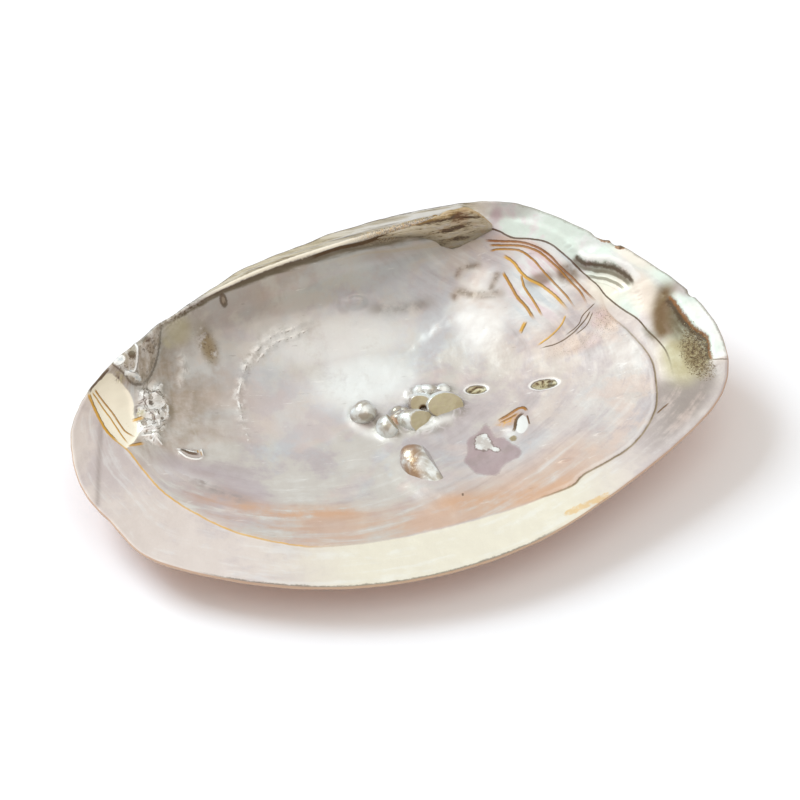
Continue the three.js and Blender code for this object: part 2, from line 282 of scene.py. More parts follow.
# Soft streaks of colour, each of one or more bands: points, width
STREAKS = {
    "wrinkle": [(WRINKLE, 1.5), (WRINKLE_BRANCH, 1.1)],
    "tan": [([(34, -41.2), (37, -40.2), (41.5, -39), (46, -37.7), (49, -36)], 1.2)],
    "torn_rim": [([(-68, 28.4), (-61, 33.6), (-56, 36.2), (-50, 39.5), (-44, 43)], 1.6)],
    "salmon": [
        ([(31, 51.4), (35.5, 50.4), (41.3, 47.3), (46, 44), (50.2, 38), (53, 33.8), (55.6, 28)], 1.2)],
    "shade": [(WING_SHADE, 2.7)],
    "smear": [([(-4, 41), (2.8, 40), (10.2, 39.3), (19, 39.6)], 1.5)],
    "slate": [([(-59, -8.4), (-53.5, -10.6), (-49.5, -13.4), (-45.5, -16), (-39.5, -18.6)], 2)],
    "frost": [([(-68, -3.4), (-64.1, -5.6), (-56.9, -8.6), (-53.2, -10.4), (-47, -12)], 1.8)],
    "tawny": [
        ([(-50, -17), (-44.5, -19.6), (-37.5, -22.4), (-28, -24.2), (-18, -25.6), (-9, -26.4)], 2.8),
        ([(0, -27), (9.8, -28), (24.7, -30.6), (36, -30.6), (46, -26)], 3)],
    "pad_marks": [
        ([(22.6, 43), (23.8, 44.6), (25.4, 45.9), (29.1, 45.5), (31, 44.6)], 1),
        ([(20.6, 37.6), (21.8, 38.8), (23.1, 40.3), (27.7, 37.7), (33.7, 36.4), (36, 35.4)], 1.3),
        ([(31, 37.2), (32, 38.7), (33.8, 41.1), (34.4, 42.6)], 1.1)],
    "margin_fold": [([(-76.6, 11), (-77.5, 8.1), (-79.4, -3), (-81.3, -16.2), (-81.6, -19)], 0.6)],
    "pearl_gap": [([(-2.2, 6.2), (-1.2, 5), (-0.2, 4), (0.8, 3.2)], 1.1)],
    "gleam": [([(-13.5, 9), (-10.2, 3.6), (-5.4, 0.3), (-0.4, -2)], 1.5), ([(4, 0), (9, 1), (17, 3)], 1.3)],
}
RING_SPOT = (-40.5, 40.6)

# Mesh of the valve: cells across each side, rounds of the rim, how far it is rounded, sets of thin lines
INSIDE_CELLS = 260
OUTSIDE_CELLS = 130
RIM_ROUNDS = 3
RIM_INSET = 0.4
GRID_MIDDLE = (2, 8)
THINNEST_WALL = 0.9
LINE_SETS = 6

# Ligament: x, then y and z of its upper edge, then y and z of its lower edge
LIGAMENT = [
    (-6, 51.6, -0.2, 51.3, -0.7), (3, 53.2, -0.3, 52.7, -1.2), (9, 54.1, 0.1, 52.9, -1.8),
    (14.5, 54.8, 0.5, 52.6, -2.9), (18.5, 55.5, 0.8, 52.2, -5), (20.5, 55.8, 1, 51.6, -7),
    (23, 56.2, 1.2, 51, -8), (26.5, 56.5, 1.3, 51.3, -7.4), (30, 56, 0.7, 51.9, -6.2),
    (32.5, 55, -1.3, 52.4, -5.4), (34.6, 53.8, -3.8, 52.8, -4.8),
]
LIGAMENT_THICKNESS = 1.3
STRAND_COUNT = 70
STRAND_SEED = 3

# Grains for each square metre where they lie thickest
GRAIN_DENSITY = 2.2e7
GRAIN_SEED = 7

# Floor, sky and lights
FLOOR_LEVEL = -0.0002
SKY_COLOUR = (1, 0.97, 0.94, 1)
KEY_COLOUR = (0.8, 0.9, 1)
FILL_COLOUR = (1, 0.95, 0.9)
FLOOR_COLOUR = (0.98, 0.98, 0.98, 1)
KEY_PLACE = (-0.75, 0.65, 1.05)
KEY_SIZE = (0.7, 0.7)
FILL_PLACE = (0.35, -0.25, 1.5)
FILL_SIZE = (1.2, 1.2)
SENSOR_WIDTH = 36
FAR_LIMIT = 20


def blister_pearl(at, size, turn=0, cuts=(), copper=0.0, taper=0.0, dull=1.0):
    """One blister pearl: its cuts are (direction, distance), and it narrows by its taper."""
    form = {"at": at, "size": size, "turn": turn, "taper": taper}
    return form | {"cuts": cuts, "copper": copper, "dull": dull}


# Blister pearls: centre, full size, turn, cut faces, copper share, narrowing, dullness of the cuts
PEARLS = [
    blister_pearl((-8.3, 8.4, -16.8), (6.8, 6.6, 6.2), copper=0.25),
    blister_pearl((-2.9, 2.6, -16.6), (5.8, 7, 5.8), 25, [((0.8, 0.3, 0.5), 2)], copper=0.2),
    blister_pearl((5.8, 2.9, -17), (13, 7.2, 5.8), -20, [((0.3, -0.4, 0.85), 1.5)], dull=0.8),
    blister_pearl((7, 8.4, -16.8), (7.6, 6.8, 6.6), 0, [((-0.1, -0.5, 0.85), 2.3)], copper=0.4),
    blister_pearl((13, 6.6, -16.5), (10.6, 8.4, 7), -18, [((0.12, -0.4, 0.9), 1.8)]),
    blister_pearl((10.4, 12.6, -18), (6, 4.4, 5), -10),
    blister_pearl((13.6, 12, -17.9), (5, 3.8, 4.6), -10),
    blister_pearl((7.4, 13.2, -18.4), (4.6, 3.8, 4), 0),
    blister_pearl((0.4, 7.6, -17.8), (4.2, 3.2, 3.4), 30),
    blister_pearl((2.4, 7, -17.6), (3.6, 3, 3.6), 0),
    blister_pearl((0.8, 5.2, -17.4), (3.8, 2.8, 3.4), -20),
    blister_pearl(
        (5.2, -16.4, -13.3), (22.5, 12, 8.6), -64, [((0.8, 0.3, 0.5), 2.9)], copper=1, taper=0.5, dull=0.2),
]

# Pearls: lumpiness, nacre heaped at the foot, wall kept below them, and the hole between them with painted
# shade
PEARL_LUMPS = 0.07
PEARL_FOOT = 0.9
PEARL_ROOT = 1.2
PEARL_HOLE = (7.3, 6.05, -15.46)
PEARL_HOLE_RADIUS = 1.3
PEARL_HOLE_DRAW = (0.12, 0.6, -1)


def linear(red, green, blue):
    """Colour for a socket from the three values a colour picker shows, 0 to 255."""
    channels = [channel / 255 for channel in (red, green, blue)]
    return tuple(c / 12.92 if c <= 0.04045 else ((c + 0.055) / 1.055) ** 2.4 for c in channels) + (1.0,)


def length(name, text, default):
    return bpy.props.FloatProperty(name=name, description=text, default=default, unit="LENGTH", precision=5)


def angle(name, text, degrees):
    turn = math.radians(degrees)
    return bpy.props.FloatProperty(name=name, description=text, default=turn, subtype="ANGLE")


def power(name, text, default):
    return bpy.props.FloatProperty(name=name, description=text, default=default, unit="POWER")


def colour(name, text, default):
    return bpy.props.FloatVectorProperty(
        name=name, description=text, default=linear(*default), subtype="COLOR", size=4, min=0, max=1)


class ShellSizes(bpy.types.PropertyGroup):
    """Sizes of the valve and of what grows on it."""

    depth: length("Depth", "Depth of the hollow below the rim", 0.020)
    rim_thickness: length("Rim thickness", "Thickness of the wall at the rim", 0.0012)
    belly_flat: length("Belly flat", "Height worn off the belly where the shell rests", 0.0006)
    hinge_lean: angle("Hinge lean", "Lift of the hinge side at rest", 8)
    hind_lean: angle("Hind lean", "Lift of the hind end", 1.5)
    wave_height: length("Wave height", "Height of the slow waves in the nacre", 0.0003)
    wave_size: length("Wave size", "Distance between the slow waves", 0.0062)
    crumple_height: length("Crumple height", "Height of the crumples beside the muscle scar", 0.0007)
    crumple_size: length("Crumple size", "Distance between the crumples", 0.0024)
    grain_size: length("Grain size", "Largest diameter of the grains stuck to the nacre", 0.00034)
    strand_size: length("Strand size", "Diameter of a strand of the torn ligament", 0.00045)


class ShellColours(bpy.types.PropertyGroup):
    """Colours of the nacre and its stains."""

    silver: colour("Silver", "Ground colour of the nacre", (204, 197, 189))
    # Grey also paints the shade of the front wall, of the crumples' creases and under the crest
    grey: colour("Grey", "Darker silver of the front wall", (168, 152, 134))
    lilac: colour("Lilac", "Lilac sheen of the floor", (188, 175, 178))
    sky: colour("Sky", "Pale blue sheen of the floor", (202, 210, 213))
    # Pale also paints the highlight on the floor beside the pearls
    pale: colour("Pale", "Bright floor beside the pearls", (240, 241, 237))
    chalk: colour("Chalk", "Whitest nacre of the pad and highlights", (253, 250, 244))
    blush: colour("Blush", "Pale pink of the hind floor", (214, 193, 183))
    peach: colour("Peach", "Peach streaks along the mantle line", (210, 168, 138))
    coral: colour("Coral", "Warm tint of the outer side towards the rim", (208, 144, 110))
    cream: colour("Cream", "Margin below the mantle line", (230, 222, 203))
    beige: colour("Beige", "Margin at the front end", (222, 209, 201))
    mint: colour("Mint", "Green sheen of the wing", (224, 234, 223))
    wing_pink: colour("Wing pink", "Pink sheen of the wing", (226, 200, 204))
    wing_cream: colour("Wing cream", "Cream swell between the folds of the wing", (255, 240, 224))
    hind_lilac: colour("Hind lilac", "Lilac grey of the hind margin", (156, 142, 137))
    khaki: colour("Khaki", "Cream olive hollow of the wing", (196, 186, 148))
    olive: colour("Olive", "Stained hollows of the wing and cut pearls", (148, 128, 92))
    # Moss also paints the shade in the wing's hollow, round the pearls, under the crest and fold, on the
    # ligament
    moss: colour("Moss", "Grey green shade in the wing", (110, 100, 80))
    # Umber also paints the brown shade between the wing's folds
    umber: colour("Umber", "Brown shade between the folds of the wing", (136, 108, 76))
    # Bark also paints the shade under the crest and the wing fold, beside the ridges and in the pearls' hole
    bark: colour("Bark", "Dark brown of stains, folds and ligament", (78, 55, 38))
    rust: colour("Rust", "Red brown of growth lines and fold edges", (158, 98, 42))
    amber: colour("Amber", "Yellow brown of the growth lines", (222, 168, 62))
    scar: colour("Scar", "Flat cream of the muscle scar", (255, 246, 224))
    sand: colour("Sand", "Sandy tooth and cut faces", (196, 182, 156))
    orchid: colour("Orchid", "Lilac scar beside the pearls", (172, 149, 152))


class StageSettings(bpy.types.PropertyGroup):
    """Floor, lights and camera."""

    floor_size: length("Floor size", "Side of the square floor", 6.0)
    camera_distance: length("Camera distance", "From the middle of the rim to the camera", 0.86)
    camera_azimuth: angle("Azimuth", "Camera's turn from the front", -9.9)
    camera_elevation: angle("Elevation", "Camera's height", 49)
    lens: bpy.props.FloatProperty(
        name="Lens", description="Focal length on a 36 mm sensor", default=148.85, subtype="DISTANCE_CAMERA")
    key_power: power("Key", "Power of the main light", 14.9)
    fill_power: power("Fill", "Power of the overhead light", 3.75)
    sky_strength: bpy.props.FloatProperty(name="Sky", description="Strength of the even light", default=0.6)


def smoothstep(low, high, value):
    share = np.clip((value - low) / (high - low), 0, 1)
    return share * share * (3 - 2 * share)


def between(value, rise, fall):
    """Rises from 0 to 1 across the first span and falls back across the second."""
    return smoothstep(*rise, value) * (1 - smoothstep(*fall, value))


def smooth_max(a, b, blend):
    """The larger of two heights, rounded where they meet."""
    share = np.clip(0.5 + 0.5 * (a - b) / blend, 0, 1)
    return b + (a - b) * share + blend * share * (1 - share)


def curve_through(points, samples, closed=False):
    """Evenly timed points of the smooth curve through the given ones."""
    points = np.asarray(points, float)
    if closed:
        points = np.vstack([points[-1], points, points[:2]])
    else:
        points = np.vstack([2 * points[0] - points[1], points, 2 * points[-1] - points[-2]])
    spans = len(points) - 3
    time = np.linspace(0, spans, samples, endpoint=not closed)
    index = np.minimum(time.astype(int), spans - 1)
    part = (time - index)[:, None]
    a, b, c, d = (points[index + step] for step in range(4))
    bend = (2 * a - 5 * b + 4 * c - d) * part**2
    return 0.5 * (2 * b + (c - a) * part + bend + (3 * b - a - 3 * c + d) * part**3)


def distance_to(x, y, line, limit=None):
    """Distance to a line of points, above zero on the left of its direction, and the share along it.

    With a limit, places clearly farther off than it are given the limit itself, on the right.
    """
    if limit is not None:
        low, high = line.min(0) - limit, line.max(0) + limit
        near = (x > low[0]) & (x < high[0]) & (y > low[1]) & (y < high[1])
        signed, along = np.full(x.shape, -float(limit)), np.zeros(x.shape)
        signed[near], along[near] = distance_to(x[near], y[near], line)
        return signed, along
    best = np.full(x.shape, np.inf)
    signed = np.zeros(x.shape)
    along = np.zeros(x.shape)
    spans = len(line) - 1
    for index in range(spans):
        (ax, ay), (bx, by) = line[index], line[index + 1]
        dx, dy = bx - ax, by - ay
        share = np.clip(((x - ax) * dx + (y - ay) * dy) / (dx * dx + dy * dy + 1e-12), 0, 1)
        away = np.hypot(x - ax - share * dx, y - ay - share * dy)
        nearer = away < best
        side = np.where(dx * (y - ay) - dy * (x - ax) >= 0, 1.0, -1.0)
        best = np.where(nearer, away, best)
        signed = np.where(nearer, away * side, signed)
        along = np.where(nearer, (index + share) / spans, along)
    return signed, along


def inside_of(x, y, points, samples=72, limit=6):
    """Distance to a closed curve, above zero inside it, and the share around it."""
    line = curve_through(points, samples, closed=True)
    line = np.vstack([line, line[:1]])
    away, along = distance_to(x, y, line, limit)
    within = np.zeros(x.shape, bool)
    for (ax, ay), (bx, by) in zip(line, line[1:]):
        crossed = (ay > y) != (by > y)
        within ^= crossed & (x < ax + (bx - ax) * (y - ay) / (by - ay + 1e-12))
    return np.where(within, np.abs(away), -np.abs(away)), along


def mound(x, y, centre, radii, turn=0):
    """Share of a rounded mound: 1 in its middle, 0 past its foot."""
    cosine, sine = math.cos(math.radians(turn)), math.sin(math.radians(turn))
    dx, dy = x - centre[0], y - centre[1]
    across = (dx * cosine + dy * sine) / radii[0]
    upward = (dy * cosine - dx * sine) / radii[1]
    return 1 - smoothstep(0.35, 1.25, np.hypot(across, upward))


def band(x, y, points, width):
    """Share of a soft band along a curve, fading towards both of its ends."""
    signed, along = distance_to(x, y, curve_through(points, 40), 4 * width)
    return np.exp(-(signed / width) ** 2) * between(along, (0, 0.25), (0.75, 1))


def thinning(along):
    """Share by which something along a curve thins out at both of its ends."""
    return np.sqrt(np.sin(math.pi * np.clip(along, 0.02, 0.98)))


def right_of(line):
    """Unit vectors to the right of a closed line's direction."""
    step = np.roll(line, -1, 0) - np.roll(line, 1, 0)
    return np.column_stack([step[:, 1], -step[:, 0]]) / np.hypot(*step.T)[:, None]


class Valve:
    """The form of the valve, in millimetres over the plane of its rim."""

    def __init__(self, sizes):
        self.depth = sizes.depth / MM
        self.rim_thickness = sizes.rim_thickness / MM
        self.belly_flat = sizes.belly_flat / MM
        self.lean = np.array(Euler((sizes.hinge_lean, -sizes.hind_lean, 0)).to_matrix())
        self.grown_rim = curve_through(RIM_POINTS, RIM_SAMPLES, closed=True)
        self.rim = self.worn(self.grown_rim)
        self.crest = curve_through(CREST_POINTS, 300)
        self.deep_reach = self.reach_table(DEEPEST, self.grown_rim)
        self.worn_reach = self.reach_table(DEEPEST, self.rim)
        self.beak_reach = self.reach_table(BEAK, self.grown_rim)
        lowest = (self.outer_belly() @ self.lean.T)[:, 2].min() + self.belly_flat
        leaned = np.column_stack([self.grown_rim, np.zeros(RIM_SAMPLES)]) @ self.lean.T
        middle = (leaned.min(0) + leaned.max(0)) / 2
        self.shift = np.array([-middle[0], -middle[1], -lowest])

    def worn(self, rim):
        """Lets the rim waver a little and pulls it in at its chips."""
        turn = np.linspace(0, 2 * math.pi, len(rim), endpoint=False)
        depth = sum(height * (1 + np.sin(count * turn + phase)) for count, phase, height in RIM_WAVER)
        for place, chip, width in RIM_CHIPS:
            depth = depth + chip * np.exp(-(np.hypot(*(rim - place).T) / width) ** 4)
        return rim + right_of(rim) * depth[:, None]

    def reach_table(self, centre, rim):
        """Direction and distance of a rim as seen from one point."""
        offset = rim - centre
        angle = np.arctan2(offset[:, 1], offset[:, 0])
        order = np.argsort(angle)
        return centre, angle[order], np.hypot(*offset[order].T)

    def rim_gap(self, x, y):
        """Distance from the worn rim, measured away from the deepest place."""
        share, _ = self.reach(x, y, self.worn_reach)
        return np.hypot(x - DEEPEST[0], y - DEEPEST[1]) * (1 / np.maximum(share, 0.05) - 1)

    def reach(self, x, y, table):
        """Share of the way from a point to the rim, and the direction of travel."""
        centre, angles, radii = table
        angle = np.arctan2(y - centre[1], x - centre[0])
        radius = np.interp(angle, angles, radii, period=2 * math.pi)
        return np.hypot(x - centre[0], y - centre[1]) / radius, angle

    def wall_power(self, angle):
        """How the wall curves up in a direction, eased between the listed ones."""
        degrees = np.degrees(angle)
        directions = np.array([direction for direction, _ in WALL_POWERS], float)
        powers = np.array([power for _, power in WALL_POWERS], float)
        wrapped = (degrees - directions[0]) % 360 + directions[0]
        closed = np.append(directions, directions[0] + 360)
        place = np.interp(wrapped, closed, np.arange(len(closed)))
        lower = np.minimum(np.floor(place).astype(int), len(powers) - 1)
        ease = (1 - np.cos(math.pi * (place - lower))) / 2
        return powers[lower] * (1 - ease) + powers[(lower + 1) % len(powers)] * ease

    def bowl(self, x, y, depth):
        """Height of the plain hollow, down to a given depth."""
        reach, angle = self.reach(x, y, self.deep_reach)
        reach = np.minimum(reach, 1)
        hinge = between(x, HINGE_FRONT, HINGE_HIND) * smoothstep(*HINGE_INNER, y)
        return -depth * (1 - reach ** self.wall_power(angle)) - HINGE_DROP * hinge * reach**6

    def crest_distance(self, x, y):
        """Distance down from the crest line, under zero behind it."""
        line_y = np.interp(x, self.crest[:, 0], self.crest[:, 1])
        slope = np.interp(x, self.crest[:, 0], np.gradient(self.crest[:, 1], self.crest[:, 0]))
        return (line_y - y) / np.hypot(1, slope)

    def hinge(self, x, y):
        """Height of the crest along the hinge."""
        distance = self.crest_distance(x, y)
        lean = (CREST_INNER_SLOPE - CREST_OUTER_SLOPE) / 2
        spread = (CREST_INNER_SLOPE + CREST_OUTER_SLOPE) / 2
        fall = lean * distance + spread * (np.hypot(distance, CREST_ROUNDING) - CREST_ROUNDING)
        front = CREST_FRONT_FALL * (1 - smoothstep(*CREST_FRONT, x))
        hind = CREST_HIND_FALL * smoothstep(*CREST_HIND, x)
        layer = LAYER_HEIGHT * np.exp(-((distance - LAYER_DROP) / LAYER_WIDTH) ** 2)
        layer = layer * between(x, LAYER_FRONT, LAYER_HIND)
        return CREST_HEIGHT + layer - fall - front - hind

    def fold(self, x, y, points, height, hollow):
        """A ledge along a curve: raised on its left, hollowed on its right, thinning out at both ends."""
        signed, along = distance_to(x, y, curve_through(points, 40), 10)
        ledge = height * between(signed, (-0.6, 0.6), (1, 5))
        pocket = hollow * between(-signed, (0, 1.5), (2.5, 8))
        pleats = PLEAT_HEIGHT * np.sin(signed * PLEAT_RATE) * between(-signed, (0.5, 1.2), (3, 4.5))
        return thinning(along) * (ledge - pocket + pleats)

    def ridge(self, x, y, points, height, width, raggedness=0.0):
        """A thin raised line along a curve, ragged along its length."""
        signed, along = distance_to(x, y, curve_through(points, 60), 4)
        ragged = 1 - raggedness * (0.5 + 0.5 * np.sin(along * 29) * np.sin(along * 71 + 1))
        stray = raggedness * 0.5 * np.sin(along * 37)
        return height * thinning(along) * ragged * np.exp(-((signed + stray) / width) ** 2)

    def inside(self, x, y):
        """Height of the nacre side."""
        height = smooth_max(self.bowl(x, y, self.depth), self.hinge(x, y), CREST_BLEND)
        for centre, radii, rise in FLOOR_FORMS:
            height = height + rise * mound(x, y, centre, radii)
        for pearl in PEARLS:
            foot = (pearl["size"][0] * 0.72, pearl["size"][1] * 0.72)
            height = height + PEARL_FOOT * mound(x, y, pearl["at"], foot, pearl["turn"])
        for centre, radii, turn in PITS:
            lip = mound(x, y, centre, (radii[0] * 1.5, radii[1] * 1.7), turn)
            height = height - PIT_DEPTH * mound(x, y, centre, radii, turn) + PIT_LIP * lip
        tooth = smoothstep(-0.3, 0.7, inside_of(x, y, TOOTH)[0])
        height = height + TOOTH_HEIGHT * tooth * smoothstep(0, 6, self.rim_gap(x, y))
        height = height - SCAR_DEPTH * smoothstep(-0.2, 0.8, inside_of(x, y, MUSCLE_SCAR)[0])
        height = height + MANTLE_STEP * smoothstep(-0.7, 0.7, inside_of(x, y, MANTLE, 160, None)[0])
        for points, rise, width, raggedness in RIDGES:
            height = height + self.ridge(x, y, points, rise, width, raggedness)
        height = height + self.fold(x, y, WING_FOLD, *WING_FOLD_FORM)
        return height + self.fold(x, y, REAR_FOLD, *REAR_FOLD_FORM)

    def outside(self, x, y):
        """Height of the outer side, with its growth ridges around the beak."""
        swell = FRONT_SWELL + (HIND_SWELL - FRONT_SWELL) * smoothstep(*SWELL_SPAN, x)
        growth, _ = self.reach(x, y, self.beak_reach)
        rings = np.sin(2 * math.pi * 17 * growth**0.8) + 0.6 * np.sin(2 * math.pi * 29 * growth**0.9 + 1)
        ridges = 0.1 * rings * smoothstep(0.05, 0.3, growth) * (1 - smoothstep(0.93, 1, growth))
        beak = -2.5 * mound(x, y, BEAK, (22, 16))
        return self.bowl(x, y, self.depth + swell) - self.rim_thickness + beak + ridges

    def outer_belly(self):
        """Points of the outer side around its lowest place."""
        x, y = np.meshgrid(np.linspace(-45, 35, 161), np.linspace(-35, 45, 161))
        return np.column_stack([x.ravel(), y.ravel(), self.outside(x.ravel(), y.ravel())])

    def placed(self, points):
        """Points over the rim plane, leaned into the resting pose, in metres."""
        world = points @ self.lean.T + self.shift
        world[:, 2] = np.maximum(world[:, 2], 0)
        return world * MM


def disc_grid(cells):
    """Radius and turn of a square grid's corners once it is rounded to a disc, its edge and its faces."""
    a, b = np.meshgrid(np.linspace(-1, 1, cells + 1), np.linspace(-1, 1, cells + 1))
    wide = np.abs(a) >= np.abs(b)
    radius = np.where(wide, a, b)
    safe = np.where(radius == 0, 1, radius)
    turn = np.where(wide, math.pi / 4 * b / safe, math.pi / 2 - math.pi / 4 * a / safe)
    turn = np.where(radius < 0, turn + math.pi, turn)
    index = np.arange((cells + 1) ** 2).reshape(cells + 1, cells + 1)
    edge = np.concatenate([index[:-1, -1], index[-1, :0:-1], index[:0:-1, 0], index[0, :-1]])
    quads = np.stack([index[:-1, :-1], index[:-1, 1:], index[1:, 1:], index[1:, :-1]], -1).reshape(-1, 4)
    return np.abs(radius).ravel(), (turn % (2 * math.pi)).ravel(), edge, quads


def valve_points(valve):
    """Corners and faces of the whole valve: nacre side, rounded rim, outer side; also which are outer."""
    inset = valve.rim + right_of(valve.rim) * RIM_INSET
    start = int(np.argmax(valve.rim[:, 0]))
    travel = np.hypot(*(np.roll(valve.rim, -1, 0) - valve.rim).T)
    turns = np.cumsum(np.roll(travel, -start)) - np.roll(travel, -start)[0]
    turns = 2 * math.pi * turns / travel.sum()
    turns = np.concatenate([[0], 2 * math.pi - turns[:0:-1]])
    loop = np.roll(np.roll(inset, -start, 0)[::-1], 1, 0)
    middle_x, middle_y = GRID_MIDDLE

    def spread(cells):
        radius, turn, edge, quads = disc_grid(cells)
        x = np.interp(turn, turns, loop[:, 0], period=2 * math.pi)
        y = np.interp(turn, turns, loop[:, 1], period=2 * math.pi)
        return middle_x + (x - middle_x) * radius, middle_y + (y - middle_y) * radius, edge, quads

    x, y, edge, quads = spread(INSIDE_CELLS)
    top = np.column_stack([x, y, valve.inside(x, y)])
    ox, oy, outer_edge, outer_quads = spread(OUTSIDE_CELLS)
    under = np.column_stack([ox, oy, np.minimum(valve.outside(ox, oy), valve.inside(ox, oy) - THINNEST_WALL)])

    upper = top[edge]
    lower = np.column_stack([upper[:, :2], valve.outside(upper[:, 0], upper[:, 1])])
    ahead = np.roll(upper, -1, 0) - np.roll(upper, 1, 0)
    normal = np.column_stack([ahead[:, 1], -ahead[:, 0], np.zeros(len(ahead))])
    normal /= np.linalg.norm(normal, axis=1)[:, None]
    rounds = []
    for turn in np.linspace(0, math.pi, RIM_ROUNDS + 2)[1:-1]:
        level = (upper + lower) / 2 + (upper - lower) / 2 * math.cos(turn)
        rounds.append(level + normal * RIM_INSET * math.sin(turn))

    points = np.vstack([top] + rounds + [under])
    count = len(edge)
    rings = [edge] + [len(top) + count * k + np.arange(count) for k in range(RIM_ROUNDS)]
    faces = quads.tolist()
    for ring, following in zip(rings, rings[1:]):
        ahead_ring, ahead_following = np.roll(ring, -1), np.roll(following, -1)
        faces += np.column_stack([ring, following, ahead_following, ahead_ring]).tolist()
    first_under = len(top) + count * RIM_ROUNDS
    outer_ring = first_under + outer_edge
    last = rings[-1]
    for j in range(len(outer_ring)):
        a, b, c = last[2 * j], last[2 * j + 1], last[(2 * j + 2) % count]
        p, q = outer_ring[j], outer_ring[(j + 1) % len(outer_ring)]
        faces += [[a, p, b], [b, p, q], [b, q, c]]
    faces += (first_under + outer_quads[:, ::-1]).tolist()
    outer = np.zeros(len(points))
    outer[len(top):first_under] = 0.5
    outer[first_under:] = 1
    return points, faces, outer


def mesh_from(name, points, faces):
    mesh = bpy.data.meshes.new(name)
    mesh.from_pydata(points.tolist(), [], faces)
    mesh.shade_smooth()
    mesh.update()
    return mesh


def add_numbers(mesh, name, *columns):
    """Stores one number, or three side by side, at each corner of a mesh."""
    if len(columns) == 1:
        attribute = mesh.attributes.new(name, "FLOAT", "POINT")
        attribute.data.foreach_set("value", np.asarray(columns[0], np.float32))
    else:
        attribute = mesh.attributes.new(name, "FLOAT_VECTOR", "POINT")
        attribute.data.foreach_set("vector", np.column_stack(columns).astype(np.float32).ravel())


def line_numbers(x, y, lines):
    """Nearest of some lines: distance in widths, how strongly it shows, and its tone."""
    best = np.full(x.shape, np.inf)
    scaled, shown, tone = np.zeros(x.shape), np.zeros(x.shape), np.zeros(x.shape)
    for points, width, line_tone in lines:
        signed, along = distance_to(x, y, curve_through(points, 6 * len(points)), 4)
        away = np.abs(signed)
        nearer = away < best
        ends = between(along, (0, 0.06), (0.86, 1))
        best = np.where(nearer, away, best)
        scaled = np.where(nearer, signed / width, scaled)
        shown = np.where(nearer, ends * (1 - smoothstep(*LINE_FADE, away)), shown)
        tone = np.where(nearer, line_tone, tone)
    return scaled, shown, tone


